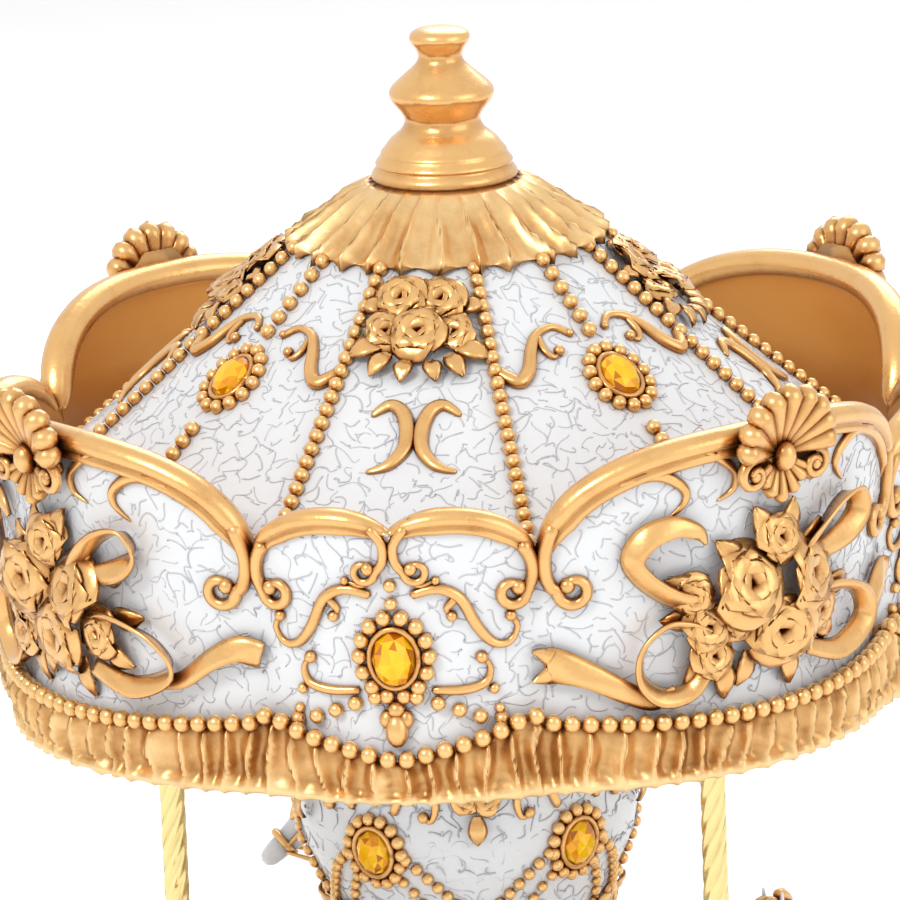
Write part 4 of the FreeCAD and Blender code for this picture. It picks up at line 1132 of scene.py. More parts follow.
RIBBONS = [  # surface, width and keys, counted from the middle of a big arch
    (on_wall, 5.0, ((-9.0, 205.0, 1.6, 15, 0.7), (-12.6, 206.8, 2.0, 35, 0.9), (-16.0, 210.8, 1.8, 40, 1.0),
                    (-17.6, 215.2, 1.6, 40, 1.0), (-16.0, 219.4, 1.6, 35, 1.0), (-12.8, 221.0, 1.4, 25, 0.85),
                    (-10.0, 219.4, 1.2, 15, 0.6), (-8.9, 216.9, 0.8, 0, 0.2))),
    (on_wall, 4.2, ((-8.6, 199.0, 2.2, 30, 0.7), (-11.0, 201.4, 2.4, 60, 0.8), (-13.7, 201.8, 2.4, 65, 0.8),
                    (-16.4, 197.8, 2.6, 65, 0.9), (-16.5, 191.8, 2.6, 60, 0.9), (-14.0, 187.8, 2.4, 50, 1.0),
                    (-10.5, 188.4, 2.2, 50, 0.9), (-8.4, 192.9, 2.0, 40, 0.7))),
    (on_flared_wall, 4.6, ((-12.0, 188.2, 0.6, 30, 0.7), (-14.6, 186.8, 1.0, 20, 0.8), (-18.0, 189.2, 1.4, 0, 0.9),
                           (-22.0, 192.9, 1.2, -20, 1.1), (-25.4, 195.0, 0.8, -8, 1.4),
                           (-27.0, 195.3, 0.5, 0, 1.6)))]
RIBBONS += [  # the two points of the tail
    (on_wall, 4.4, ((-26.6, (height + 195.2) / 2, 0.6, 0, 0.8), (-27.6, height * 0.8 + 39.04, 0.4, 0, 0.55),
                    (-28.8, height, 0.2, 0, 0.12))) for height in (198.2, 192.2)]
RIBBONS += [
    (on_wall, 4.8, ((4.0, 209.6, 1.6, -20, 0.6), (6.6, 214.6, 2.0, -45, 0.8), (9.8, 219.0, 2.0, -60, 0.9),
                    (12.9, 220.2, 2.0, -65, 0.9), (14.2, 216.0, 2.0, -60, 1.0), (11.4, 212.4, 2.0, -30, 1.0),
                    (6.0, 210.0, 1.4, -10, 0.7))),
    (on_wall, 4.6, ((6.0, 201.0, 1.6, -20, 0.6), (9.6, 202.6, 2.2, -50, 0.8), (15.3, 199.6, 2.6, -65, 0.9),
                    (17.5, 193.4, 2.6, -60, 1.0), (12.0, 189.4, 2.4, -45, 1.0), (6.0, 192.0, 1.6, -20, 0.7))),
    (on_wall, 4.2, ((15.0, 190.6, 1.4, 20, 0.6), (18.6, 192.0, 1.6, 25, 0.8), (22.4, 196.4, 1.4, 30, 1.0),
                    (25.6, 198.6, 1.0, 15, 1.2), (28.4, 197.4, 0.6, 0, 1.3)))]
ribbons = Heap()
for q in QUARTERS:
    for surface, width, keys in RIBBONS:
        ribbon(ribbons, surface, around([q + SHELL_OFF], keys), width)
ribbons.make("canopy_ribbons", [GOLD], "carousel", "gold_resin")


def shell(heap, off, z):
    """Scallop shell that caps an arch."""
    def at(u, v, lift=0.0):
        """Point u mm to the right of the shell's boss and v mm above it, standing off the wall."""
        return on_wall(off, z, 3.0 + lift) + (right * u + up * v) * MM

    out, right, up = upright(on_wall, off, z)

    def flute(angle, start, end, r0, r1, lift0, lift1):
        a, count, centres, widths = math.radians(angle), 9, [], []
        for k in range(count):
            t = k / (count - 1)
            reach = start + (end - start) * t
            rise = lift0 + (lift1 - lift0) * math.sin(math.pi / 2 * t)
            centres.append(at(reach * math.sin(a), reach * math.cos(a), rise))
            widths.append((r0 + (r1 - r0) * t) * (1.0 if k < count - 1 else 0.62))
        sweep(heap, centres, [out] * count, widths, [w * 1.15 for w in widths])

    for k in range(9):
        angle = -76 + 19 * k
        reach = 13.4 - 2.4 * (abs(k - 4) / 4) ** 2
        flute(angle, 2.0, reach, 0.8, 2.75, -0.6, 1.5)
    for k in range(5):
        flute(180 - 44 + 22 * k, 2.0, 8.8 - abs(k - 2) * 0.9, 0.6, 1.7, -0.2, 0.5)
    ball(heap, at(0, 0, 1.0), 2.3, stretch=up * 2.9, sides=12, rings=8)
    for side in (-1, 1):
        points = []
        for k in range(19):
            t = k / 18
            r = 3.1 * (1 - 0.72 * t)
            a = math.radians(90 - 430 * t)
            points.append(at(side * (7.3 + r * math.cos(a)), -2.6 + r * math.sin(a), 0.9 + 0.4 * t))
        sweep(heap, points, [out] * 19, [1.05 - 0.3 * k / 18 for k in range(19)], [1.1] * 19, 7)
        ball(heap, at(side * 7.3, -2.6, 1.3), 1.3)
        flute(side * 118, 3.2, 6.4, 0.9, 1.1, 0.2, 0.6)
    plate = [at(u, v, -1.6) for u, v in ((-9, -1), (-7, 5), (-3.5, 8.6), (3.5, 8.6), (7, 5), (9, -1), (4, -6),
                                         (-4, -6))]
    front = [p + out * 1.6 * MM for p in plate]
    sides = [(k, (k + 1) % 8, 8 + (k + 1) % 8, 8 + k) for k in range(8)]
    heap.add(plate + front, [tuple(range(8))[::-1], tuple(range(8, 16))] + sides)


shells = Heap()
for q in QUARTERS:
    shell(shells, q + SHELL_OFF, 231.8)
shells.make("shell_caps", [GOLD], "carousel", "gold_resin", ["shell_crests"])

# %% [markdown]
# ## Roses
# A rose is one petal used many times: each next petal is turned by the golden angle, leans out more and
# is larger. The petal is a small closed grid. The tree strings the petals on a list of points, makes
# that a rose, and puts roses at the places it is given, facing away from the surface.

# %% Rose tree
def petal_mesh():
    cols, rows, points, faces = 4, 4, [], []
    for layer in (0, 1):
        for j in range(rows + 1):
            v = j / rows
            half = 0.2 + 0.42 * math.sin(math.pi * min(1.0, v * 0.72 + 0.06))
            lip = max(0.0, (v - 0.6) / 0.4)
            for i in range(cols + 1):
                u = 2 * i / cols - 1
                lean = 0.1 + 0.18 * v * v + 0.26 * lip * lip
                y = -lean + 0.3 * (1 - math.cos(u * 1.25)) * (1 - 0.6 * lip) + 0.09 * layer
                z = v * 0.95 - 0.14 * lip * lip - 0.12 * abs(u) ** 2 * v
                points.append((u * half, y, z))
    count = cols + 1
    shift = count * (rows + 1)
    for j in range(rows):
        for i in range(cols):
            a = j * count + i
            face = (a, a + 1, a + count + 1, a + count)
            faces += [face, tuple(shift + p for p in face[::-1])]
    edge = border(rows + 1, count)
    for a, b in zip(edge, edge[1:] + edge[:1]):
        faces.append((b, a, a + shift, b + shift))
    return point_mesh("petal", points, faces=faces)


def rose_tree():
    tree, start, end = new_geometry_tree("roses", (
        ("Petal", "NodeSocketObject", None), ("Petals", "NodeSocketInt", 17),
        ("Material", "NodeSocketMaterial", None)))
    petal = add(tree, "GeometryNodeObjectInfo", {"transform_space": "ORIGINAL"}, Object=start.outputs["Petal"])
    stem = add(tree, "GeometryNodeMeshLine", Count=start.outputs["Petals"], Offset=(0.0, 0.0, 0.0))
    index = add(tree, "GeometryNodeInputIndex")
    share = maths(tree, "DIVIDE", index.outputs[0], start.outputs["Petals"])
    rotation = add(tree, "ShaderNodeCombineXYZ", X=maths(tree, "MULTIPLY", share, 1.05),
                   Z=maths(tree, "MULTIPLY", index.outputs[0], 2.39996))
    rose = add(tree, "GeometryNodeInstanceOnPoints", Points=stem.outputs["Mesh"],
               Instance=petal.outputs["Geometry"], Rotation=rotation.outputs[0],
               Scale=maths(tree, "MULTIPLY_ADD", share, 0.58, 0.5))
    aligned = add(tree, "FunctionNodeAlignRotationToVector", {"axis": "Z"},
                  Vector=read_attribute(tree, "facing", "FLOAT_VECTOR"))
    placed = add(tree, "GeometryNodeInstanceOnPoints", Points=start.outputs["Geometry"],
                 Instance=rose.outputs["Instances"], Scale=read_attribute(tree, "size"),
                 Rotation=spin(tree, aligned.outputs[0], read_attribute(tree, "spin")))
    return finish_tree(tree, start, end, placed.outputs["Instances"])


ROSES = rose_tree()
PETAL = bpy.data.objects.new("petal", petal_mesh())


def grow_roses(surface, blooms, petals=13):
    """Roses at (off, z, radius) places of a surface."""
    luck = random.Random(len(blooms))
    points = [surface(off, z, 0.2 * radius) for off, z, radius in blooms]
    normals = [tuple((facing(surface, off, z) + Vector((luck.uniform(-0.3, 0.3), luck.uniform(-0.3, 0.3),
                                                        luck.uniform(-0.1, 0.35)))).normalized())
               for off, z, radius in blooms]
    source = point_mesh("rose_places", points, facing=normals, size=[radius * MM * 1.22 for _, _, radius in blooms],
                        spin=[luck.uniform(0, 6.28) for _ in blooms])
    return grow(ROSES, source, Petal=PETAL, Petals=petals, Material=GOLD)


LEAF_SECTION = ((-1, 0.0), (-0.5, 0.45), (0, 0.15), (0.5, 0.45), (1, 0.0), (0, -0.7))


def leaf(heap, surface, off, z, angle, length, width):
    """Pointed leaf with a raised rib; the angle is from upright towards the right."""
    a = math.radians(angle)
    out, right, up = upright(surface, off, z)
    ahead = up * math.cos(a) + right * math.sin(a)
    side = ahead.cross(out)
    root = surface(off, z, 0.8)
    points, steps = [], 6
    for k in range(steps + 1):
        t = k / steps
        half = width / 2 * math.sin(math.pi * (0.12 + 0.86 * t)) ** 0.8
        arch = 1.2 * math.sin(math.pi * t) + 0.3
        points += [root + (ahead * length * t + side * x * half + out * (y + arch)) * MM for x, y in LEAF_SECTION]
    size = steps + 1, len(LEAF_SECTION)
    heap.add(points, turned(tube_faces(*size)) + [end[::-1] for end in flat_ends(*size)])


def leaves_mesh(surface, specs):
    heap = Heap()
    for spec in specs:
        leaf(heap, surface, *spec)
    return heap.mesh("leaves", [GOLD])


WALL_BLOOMS = ((-3.8, 207.6, 7.6), (4.7, 206.8, 7.0), (1.3, 197.4, 7.2), (-8.6, 200.6, 5.2), (0.4, 215.6, 5.0),
               (-7.8, 194.4, 4.6), (7.4, 199.0, 4.8), (-4.6, 201.2, 4.4), (-10.2, 206.6, 4.2))
WALL_LEAVES = ((-0.6, 215.4, -25, 7.5, 5.4), (1.4, 215.6, 25, 7.5, 5.4), (-4.0, 212.0, -50, 7.5, 5),
               (4.4, 212.0, 50, 7.5, 5), (-9.0, 207.6, -70, 8, 5.4), (-9.4, 203.0, -95, 7.5, 5),
               (-8.0, 195.4, -150, 9, 5.4), (-6.0, 193.4, 175, 8.5, 5), (-2.4, 193.6, 200, 7, 4.6),
               (3.0, 192.6, 165, 8, 5), (7.4, 196.4, 120, 7.5, 5), (9.0, 202.4, 85, 8, 5), (8.4, 209.4, 60, 7.5, 5))
arches = [q + SHELL_OFF for q in QUARTERS]
gild([grow_roses(lambda off, z, lift=0.0: on_wall(off, z, lift + 1.0), around(arches, WALL_BLOOMS)),
      leaves_mesh(on_wall, around(arches, WALL_LEAVES))], "canopy_roses", replaced=["rose_clusters"])
DOME_BLOOMS = ((-6.0, 252.8, 5.2), (6.0, 252.6, 5.0), (0.0, 247.6, 5.6), (-9.0, 247.8, 4.2), (9.0, 247.6, 4.2),
               (0.2, 253.6, 3.8), (-4.6, 249.4, 4.0))
DOME_LEAVES = ((-9.0, 246.0, -115, 7, 5.0), (-7.0, 244.6, -150, 6, 4.2), (9.0, 245.6, 115, 7, 5.0),
               (7.0, 244.4, 150, 6, 4.2), (-2.4, 243.6, -170, 5, 4.0), (3.0, 243.6, 165, 5, 4.0),
               (-11.0, 251.0, -70, 5, 4.0), (11.0, 251.0, 70, 5, 4.0))
gild([grow_roses(on_dome, around(QUARTERS, DOME_BLOOMS), 11), leaves_mesh(on_dome, around(QUARTERS, DOME_LEAVES))],
     "dome_sprays", replaced=["dome_roses"])

# %% [markdown]
# ## The finial
# The knob on top is turned. Its outline is the designed one, rounded by a smooth curve through its
# corners, with the shallow grooves of a hand-modelled original.

# %% Finial
FINIAL_FOOT_Z = 270.0
FINIAL_KEYS = ((14.2, 0.0), (14.3, 1.4), (13.3, 2.9), (13.5, 3.6), (12.5, 5.0), (12.3, 5.7), (11.6, 6.6), (10.3, 8.2),
               (8.5, 9.7), (7.6, 11.0), (7.5, 12.4), (8.5, 14.0), (9.9, 15.8), (10.3, 17.2), (9.8, 18.4), (8.6, 19.6),
               (7.0, 21.0), (5.0, 22.8), (4.3, 24.2), (4.7, 25.7), (5.7, 27.2), (5.9, 28.2), (5.3, 29.2),
               (3.6, 29.8), (0.4, 30.0))


def turned_finial():
    heap = Heap()
    outline = [(r, FINIAL_FOOT_Z + z) for r, z in smooth_path(FINIAL_KEYS, 4)]
    lathe(heap, outline, 64, caps=True)
    heap.make("turned_finial", [GOLD], "carousel", "gold_resin", ["finial"])


turned_finial()

# %% [markdown]
# ## The poles
# The poles are brass tube rolled into a rope twist. The section has six lobes, and it turns as it goes
# up. A curve with a twisted profile would do the same; a grid made by formula keeps the count of faces
# in hand and closes both ends.

# %% Twisted poles
POLE_ANGLES = {"right": 50.0, "back": 192.0, "left": 290.0}
POLE_CIRCLE_R = 62.0


def twisted_pole(name, angle):
    centre = polar(POLE_CIRCLE_R, angle, 0.0)
    sides, rows, turns = 36, 130, 7.0
    heap, points = Heap(), []
    for j in range(rows + 1):
        z = PLATFORM_TOP + (CEILING_Z - PLATFORM_TOP) * j / rows
        for k in range(sides):
            a = 2 * math.pi * k / sides
            lobe = abs(math.sin(3 * a - math.pi * 3 * turns * 2 * j / rows / 2))
            radius = 1.95 + 0.55 * lobe ** 0.6
            points.append(centre + Vector((radius * math.cos(a), radius * math.sin(a), z)) * MM)
    heap.add(points, turned(tube_faces(rows + 1, sides)) + flat_ends(rows + 1, sides))
    heap.make("twisted_pole_" + name, [TWIST_BRASS], "carousel", "twisted_brass", ["pole_" + name])


for name, angle in POLE_ANGLES.items():
    twisted_pole(name, angle)

# %% [markdown]
# ## The horses
# Each horse is modelled from rounded limbs: barrel, chest, neck, head, muzzle, ears and four legs. The
# limbs are joined and remeshed into one skin, which is then smoothed, so that they flow into each other
# as if sculpted. Mane, tail, saddle and bridle are strands and bands of gold laid over it.

# %% Horses
def horse_skin(limbs, name):
    """One smooth skin round tapered limbs; a limb is (start, end, start radius, end radius, flatness)."""
    heap = Heap()
    for start, end, r0, r1, flat in limbs:
        p0, p1 = Vector(start) * MM, Vector(end) * MM
        count = 7
        centres = [p0.lerp(p1, k / (count - 1)) for k in range(count)]
        out = (p1 - p0).cross(Vector((0, 1, 0)))
        out = out.normalized() if out.length > 1e-9 else Vector((1, 0, 0))
        widths = [r0 + (r1 - r0) * k / (count - 1) for k in range(count)]
        sweep(heap, centres, [out] * count, [w * flat for w in widths], widths, 14)
        ball(heap, p0, r0 * min(1.0, flat + 0.1), sides=14, rings=8)
        ball(heap, p1, r1 * min(1.0, flat + 0.1), sides=14, rings=8)
    mesh = point_mesh(name, heap.points, faces=heap.faces)
    helper = bpy.data.objects.new(name, mesh)
    bpy.context.scene.collection.objects.link(helper)
    remesh = helper.modifiers.new("skin", "REMESH")
    remesh.mode = "VOXEL"
    remesh.voxel_size = 0.75 * MM
    remesh.use_smooth_shade = True
    relax = helper.modifiers.new("relax", "SMOOTH")
    relax.factor, relax.iterations = 0.6, 5
    evaluated = helper.evaluated_get(bpy.context.evaluated_depsgraph_get())
    skin = bpy.data.meshes.new_from_object(evaluated)
    bpy.data.objects.remove(helper)
    skin.polygons.foreach_set("use_smooth", [True] * len(skin.polygons))
    return skin


HORSE_LIMBS = (
    ((-13, 0, 37), (0, 0, 35), 8.2, 7.6, 0.82), ((0, 0, 35), (10, 0, 37), 7.6, 8.0, 0.82),
    ((10, 0, 38), (14.5, 0, 46), 7.0, 5.4, 0.75), ((14.5, 0, 46), (18.2, 0, 54), 5.4, 4.2, 0.7),
    ((18.2, 0, 55), (22.5, 0, 53.5), 4.3, 3.9, 0.72), ((22.5, 0, 53.0), (28.0, 0, 48.6), 3.5, 2.5, 0.78),
    ((28.0, 0, 48.6), (29.6, 0, 47.2), 2.6, 2.3, 0.85), ((18.4, 1.9, 57.5), (18.2, 2.6, 62.4), 1.3, 0.5, 0.8),
    ((18.4, -1.9, 57.5), (18.2, -2.6, 62.4), 1.3, 0.5, 0.8),
    ((11, 3.6, 31), (18.5, 4.4, 24.5), 3.8, 2.5, 0.85), ((18.5, 4.4, 24.5), (17.2, 4.2, 15), 2.3, 1.5, 0.9),
    ((17.2, 4.2, 15), (15.8, 4.2, 12.2), 1.6, 2.1, 1.0),
    ((10, -3.6, 30), (16, -4.4, 18.5), 3.8, 2.4, 0.85), ((16, -4.4, 18.5), (21, -4.2, 10.5), 2.2, 1.5, 0.9),
    ((21, -4.2, 10.5), (22.8, -4.2, 8.2), 1.6, 2.1, 1.0),
    ((-14, 4.0, 33), (-18.5, 4.6, 24), 5.4, 3.2, 0.8), ((-18.5, 4.6, 24), (-21.5, 4.6, 17.5), 2.8, 1.8, 0.9),
    ((-21.5, 4.6, 17.5), (-16.5, 4.5, 9.5), 1.8, 1.4, 1.0), ((-16.5, 4.5, 9.5), (-15, 4.5, 7.2), 1.6, 2.1, 1.0),
    ((-14, -4.0, 33), (-20, -4.6, 24.5), 5.4, 3.2, 0.8), ((-20, -4.6, 24.5), (-24.5, -4.6, 18.5), 2.8, 1.8, 0.9),
    ((-24.5, -4.6, 18.5), (-22, -4.5, 11), 1.8, 1.4, 1.0), ((-22, -4.5, 11), (-20.6, -4.5, 8.6), 1.6, 2.1, 1.0),
)


def horse_trim():
    """Mane, tail, saddle, girth and bridle, in the horse's own place."""
    trim = Heap()

    def cord_of(points, width):
        centres = [Vector(p) * MM for p in smooth_path(points, 5)]
        count = len(centres)
        widths = [width * (0.35 + 0.65 * math.sin(math.pi * (0.15 + 0.75 * k / (count - 1)))) for k in range(count)]
        sweep(trim, centres, [Vector((0, 1, 0))] * count, widths, widths, 7)

    def hoop(centre, axis, radius_side, radius_up, width):
        """Band round a limb: centre, its direction, and its two half sizes."""
        a = Vector(axis).normalized()
        side, up = Vector((0, 1, 0)), a.cross(Vector((0, 1, 0))).normalized()
        ring = [Vector(centre) * MM + (side * radius_side * math.cos(t) + up * radius_up * math.sin(t)) * MM
                for t in (2 * math.pi * k / 24 for k in range(25))]
        normals = [(p - Vector(centre) * MM).normalized() for p in ring]
        sweep(trim, ring, normals, [width] * len(ring), [0.5] * len(ring), 6)

    for k in range(7):
        t = k / 6
        root = Vector((19.0 - 9.0 * t, 0.0, 58.6 - 15.0 * t))
        cord_of([root, root + Vector((-3.0, 1.2, 0.6)), root + Vector((-5.6, 2.2, -3.6)),
                 root + Vector((-5.0, 2.6, -8.0))], 1.6)
        cord_of([root, root + Vector((-3.0, -1.0, 0.8)), root + Vector((-5.8, -1.6, -3.2))], 1.5)
    cord_of([(19.5, 0, 60.5), (22.5, 0.5, 59.0), (24.5, 0.6, 55.0)], 1.5)
    for k in range(5):
        y = (k - 2) * 0.9
        cord_of([(-19, y * 0.4, 40), (-25, y, 41.5), (-29.0, y * 1.4, 33), (-27.5 - k % 2, y * 1.6, 24),
                 (-30.5, y * 1.8, 16.5)], 1.9)
    rows, cols, axis_z = 13, 15, 36.6
    points = []
    for i in range(rows):
        u = -7.0 + 12.0 * i / (rows - 1)
        dip = 1.6 * (2 * i / (rows - 1) - 1) ** 2
        points += [Vector((u, 8.1 * math.sin(a), axis_z + (8.3 + dip * (1 if abs(a) < 0.9 else 0.3))
                           * math.cos(a))) * MM for a in (-1.55 + 3.1 * j / (cols - 1) for j in range(cols))]
    lower = [p + (Vector((p.x, 0, axis_z * MM)) - p).normalized() * 1.1 * MM for p in points]
    under, faces = rows * cols, []
    for i in range(rows - 1):
        for j in range(cols - 1):
            a = i * cols + j
            b = a + under
            faces += [(a, a + 1, a + cols + 1, a + cols), (b, b + cols, b + cols + 1, b + 1)]
    rim = border(rows, cols)
    faces += [(a, a + under, b + under, b) for a, b in zip(rim, rim[1:] + rim[:1])]
    trim.add(points + lower, faces)
    hoop((4.0, 0, 36.2), (1, 0, 0.1), 7.0, 8.4, 1.0)
    hoop((13.0, 0, 42.0), (0.5, 0, 0.85), 5.6, 6.9, 0.9)
    hoop((26.4, 0, 50.0), (0.78, 0, -0.62), 2.9, 3.3, 0.8)
    hoop((21.0, 0, 54.2), (0.9, 0, -0.45), 3.6, 4.6, 0.6)
    for side in (-1, 1):
        cord_of([(26.4, side * 2.7, 50.0), (23.0, side * 3.1, 53.2), (20.0, side * 3.2, 56.4)], 0.6)
        cord_of([(26.6, side * 2.8, 48.6), (18.0, side * 5.0, 46.0), (6.0, side * 6.0, 44.0)], 0.55)
        for u in (-7, 5):
            ball(trim, Vector((u, side * 5.4, 42.6)) * MM, 1.0)
        ball(trim, Vector((13.4, side * 5.7, 41.0)) * MM, 1.2)
    for hoof in ((15.6, 4.2, 11.4), (23.2, -4.2, 7.6), (-14.8, 4.5, 6.4), (-20.4, -4.5, 7.8)):
        ball(trim, Vector(hoof) * MM, 2.3, sides=10, rings=6)
    return trim


# The eye's own colour is near black; its slight darkening in hollows is painted shade.
EYE = shaded_and_worn("dark_eye", ((0.0, (0.01, 0.008, 0.006)), (1.0, (0.03, 0.02, 0.015))), rough=(0.08, 0.12), coat=1.0,
           blotch=0.1, grain=0.02)


def make_horse(name, angle):
    skin = horse_skin(HORSE_LIMBS, "horse")
    skin.materials.append(PEARL)
    eyes = Heap()
    for side in (-1, 1):
        ball(eyes, Vector((22.6, side * 2.75, 54.4)) * MM, 0.7)
    mesh = join_meshes([skin, horse_trim().mesh("trim", [GOLD]), eyes.mesh("eyes", [EYE], smooth=False)],
                       "carved_horse_" + name)
    turn = Matrix.Rotation(math.radians(angle), 4, "Z")
    mesh.transform(Matrix.Translation(polar(POLE_CIRCLE_R, angle, PLATFORM_TOP)) @ turn)
    place(mesh, "carved_horse_" + name, "carousel", "white_resin", ["horse_" + name])


for name, angle in POLE_ANGLES.items():
    make_horse(name, angle)

# %% [markdown]
# ## The column
# The column keeps its designed shape. Its stones sit in rings of beads, with a string of beads going
# outward from each and two more that meet between them, and gilt scrolls and small roses above. Below
# the waist, which the horses hide, a few leaves mark the foot. All of it is laid on with the same
# helpers as on the canopy.

# %% Column ornament
def on_shaft(off, z, lift=0.0):
    return on_column(off, z, lift + 0.1)


threads_on(surface_patch(on_shaft, 3.0, lambda off: (76.0, 169.0)), "column_threads", "carousel", 21)

column_gold = Heap()
strings = BeadRows(2.75)
column_leaves = []
for gem in COLUMN_GEM_OFFS:
    setting(column_gold, on_column, gem, 141.5, 4.2, 5.1)
    strings.ring(on_column, gem, 141.5, 6.0, 6.9, 1.4)
    for side in (-1, 1):
        strings.row(on_column, mirrored(gem, side, (11.5, 140.4), (18.0, 137.0), (26.0, 131.8), (35.0, 126.6)), 1.25)
        strings.row(on_column, mirrored(gem, side, (9.5, 135.4), (16.0, 130.0), (24.0, 121.0), (33.0, 116.0)), 1.15)
        scroll(column_gold, on_column, mirrored(gem, side, (8.0, 150.0), (12.0, 154.6), (18.0, 156.0), (22.5, 152.6),
                                                (21.0, 148.8), (18.4, 149.6)), 1.1)
        scroll(column_gold, on_column, mirrored(gem, side, (12.0, 154.0), (15.0, 160.0), (22.0, 163.0),
                                                (27.0, 160.0)), 0.9, end=1.1)
    column_leaves += [(gem + 36.0 + off, z, angle, 6.0, 4.0) for off, z, angle in (
        (-7.0, 125.0, -70), (7.0, 125.0, 70), (-3.0, 119.0, -150), (3.0, 119.0, 150), (-4.0, 156.0, -40),
        (4.0, 156.0, 40), (0.0, 150.0, 180))]
    column_leaves += [(gem + off, 76.0, lean, 12.0, 7.0) for off, lean in ((0.0, 0), (24.0, 8), (48.0, -8))]
lathe(column_gold, [(33.0, 68.0), (34.4, 68.6), (35.0, 70.0), (34.6, 71.4), (33.4, 72.0), (32.6, 73.0),
                    (31.0, 74.0), (29.0, 74.2), (29.0, 68.0), (33.0, 68.0)], 96)
for z in (101.0, 111.0):
    strings.row(on_column, [(9.0 * k, z) for k in range(40)] + [(360.0, z)], 1.3, steps=2)
column_blooms = around(COLUMN_GEM_OFFS, ((36.0, 124.0, 3.6), (33.0, 153.4, 3.0), (39.5, 153.0, 3.0)))
gild([column_gold.mesh("column_gold", [GOLD]), strings.mesh(), grow_roses(on_column, column_blooms, 9),
      leaves_mesh(on_column, column_leaves)], "column_work")

# %% [markdown]
# ## Platform and base
# The lower half isn't as rich on such a music box as the canopy, and repeats it: a rope of gold on the
# platform's edge, two bead rows on the base with a stone in a beaded ring on each side, scrolls beside
# it, and roses with leaves round them between the stones.

# %% Platform ornament
def on_rim(off, z, lift=0.0):
    return polar(84.0 + lift, off + TURN, z)


platform_gold = Heap()
for strand_start in range(2):
    path = [(k * 3.0, 64.0 + 1.1 * math.sin(math.radians(k * 45.0) + math.pi * strand_start)) for k in range(121)]
    centres = [on_rim(off, z, 0.2 + 0.9 * math.cos(math.radians(k * 45.0) + math.pi * strand_start))
               for k, (off, z) in enumerate(path)]
    sweep(platform_gold, centres, [facing(on_rim, off, 64.0) for off, z in path], [1.9] * 121, [1.9] * 121)
for k in range(12):
    for side in (-1, 1):
        scroll(platform_gold, on_platform, mirrored(30.0 * k, side, (1.0, 77.0), (4.0, 79.6), (8.0, 79.0),
                                                    (10.5, 76.2), (8.6, 74.6), (7.0, 76.0)), 0.9, end=1.1)
    ball(platform_gold, on_platform(30.0 * k, 77.2, 0.4), 1.6)
platform_gold.make("platform_gilding", [GOLD], "carousel", "gold_resin")

# %% Base ornament
threads_on(surface_patch(on_base, 2.0, lambda off: (25.0, 51.0)), "base_threads", "base", 31)
base_gold = Heap()
lines = BeadRows(3.2)
lathe(base_gold, [(90.0, 14.2), (92.4, 15.4), (93.0, 17.0), (92.6, 19.6), (92.0, 21.0), (90.4, 22.0),
                  (89.4, 23.4), (87.0, 23.6), (87.0, 14.2), (90.0, 14.2)], 180)
lathe(base_gold, [(84.6, 59.0), (86.6, 58.9), (88.4, 58.0), (89.2, 56.6), (89.0, 54.4), (88.4, 52.8),
                  (87.0, 52.0), (84.6, 52.4), (84.6, 59.0)], 180)
for z in (25.8, 50.4):
    lines.row(on_base, [(6.0 * k, z) for k in range(61)], 1.5, steps=2)
for q in QUARTERS:
    setting(base_gold, on_base, q, 40.0, 4.8, 6.2)
    lines.ring(on_base, q, 40.0, 7.0, 8.4, 1.6)
    for side in (-1, 1):
        scroll(base_gold, on_base, mirrored(q, side, (6.0, 46.0), (9.0, 48.0), (13.0, 46.0), (15.0, 40.0),
                                            (18.0, 36.0), (21.0, 38.0), (19.4, 41.0)), 1.2, end=1.4)
        scroll(base_gold, on_base, mirrored(q, side, (6.0, 33.6), (10.0, 31.6), (14.0, 32.6), (15.0, 35.0),
                                            (13.0, 36.0)), 1.1, end=1.3)
        lines.row(on_base, mirrored(q, side, (22.0, 47.0), (27.0, 43.8), (33.0, 43.2), (38.0, 45.0)), 1.3)
BASE_BLOOMS = ((-4.0, 38.0, 6.4), (4.6, 38.6, 6.0), (0.2, 44.0, 5.0), (0.4, 32.6, 4.6), (-9.0, 35.0, 4.0),
               (9.6, 35.4, 4.0))
BASE_LEAVES = [spec + (8.5, 5.4) for spec in (
    (-8.0, 40.0, -80), (8.6, 41.0, 80), (-5.0, 33.0, -140), (5.0, 33.0, 140), (-2.4, 45.0, -40),
    (2.8, 45.0, 40), (-12.0, 36.0, -100), (12.6, 36.0, 100), (0.0, 31.0, 180))]
corners = [q + 45 for q in QUARTERS]
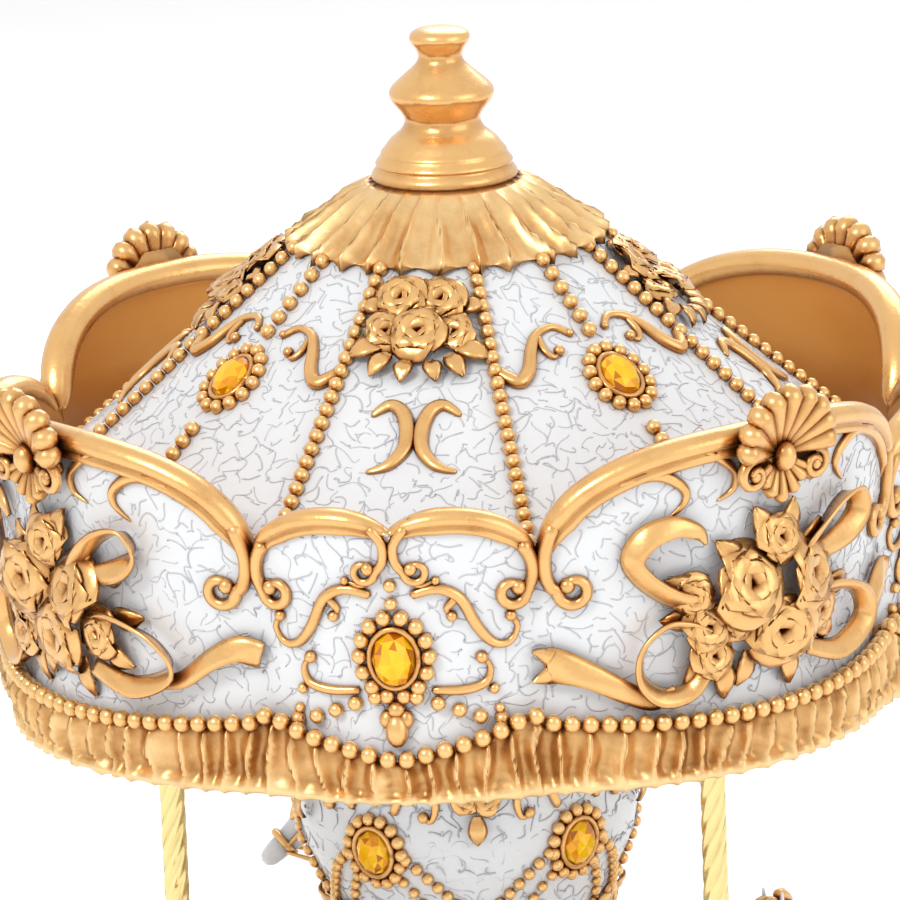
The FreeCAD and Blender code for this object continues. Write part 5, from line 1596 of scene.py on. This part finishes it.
gild([base_gold.mesh("base_gold", [GOLD]), lines.mesh(), grow_roses(on_base, around(corners, BASE_BLOOMS), 11),
      leaves_mesh(on_base, around(corners, BASE_LEAVES))], "base_work", "base")

# %% [markdown]
# ## Finishes of the designed parts
# The parts that keep their designed shape get a finish by what they are made of: pearl resin, gold,
# or the brass, nickel, steel, nylon and black board of the movement inside. Each is darker in its hollows, as painted
# shade.

# %% Materials for the other parts
# Slot, name, colour in the hollows (painted shade) and in the open, metallic, roughness, blotches, grain and its
# size.
PLAIN_FINISHES = (
    ("movement_brass", "milled_brass", (0.3, 0.17, 0.04), (0.72, 0.5, 0.18), 1.0, (0.22, 0.36), 0.2, 0.12, 1500.0),
    ("nickelled_steel", "nickel_plate", (0.4, 0.4, 0.39), (0.72, 0.71, 0.68), 1.0, (0.16, 0.28), 0.15, 0.05, 900.0),
    ("steel", "bright_steel", (0.26, 0.27, 0.28), (0.56, 0.57, 0.58), 1.0, (0.26, 0.4), 0.2, 0.12, 1400.0),
    ("fastener_steel", "zinc_plate", (0.3, 0.31, 0.32), (0.62, 0.63, 0.65), 1.0, (0.3, 0.45), 0.2, 0.1, 900.0),
    ("nylon", "white_nylon", (0.5, 0.5, 0.47), (0.78, 0.78, 0.74), 0.0, (0.4, 0.5), 0.1, 0.05, 900.0),
    ("black_board", "black_board", (0.008, 0.008, 0.008), (0.03, 0.03, 0.032), 0.0, (0.5, 0.7), 0.3, 0.3, 1200.0))
SLOT_MATERIALS = {"white_resin": PEARL, "gold_resin": GOLD, "twisted_brass": TWIST_BRASS, "amber_stone": AMBER}
for slot, name, dark, bright, metallic, rough, blotch, grain, grain_size in PLAIN_FINISHES:
    SLOT_MATERIALS[slot] = shaded_and_worn(name, ((0.0, dark), (1.0, bright)), metallic=metallic, rough=rough, coat=0.0,
                                blotch=blotch, grain=grain, grain_size=grain_size)
finished = 0
for part in frame["record"]["subparts"]:
    shape = frame["nodes"].get(part["node"])
    if shape is None:
        continue
    for slot in shape.material_slots:
        slot.material = SLOT_MATERIALS[part["material_slot"]]
    finished += 1
print("designed parts given a finish:", finished)
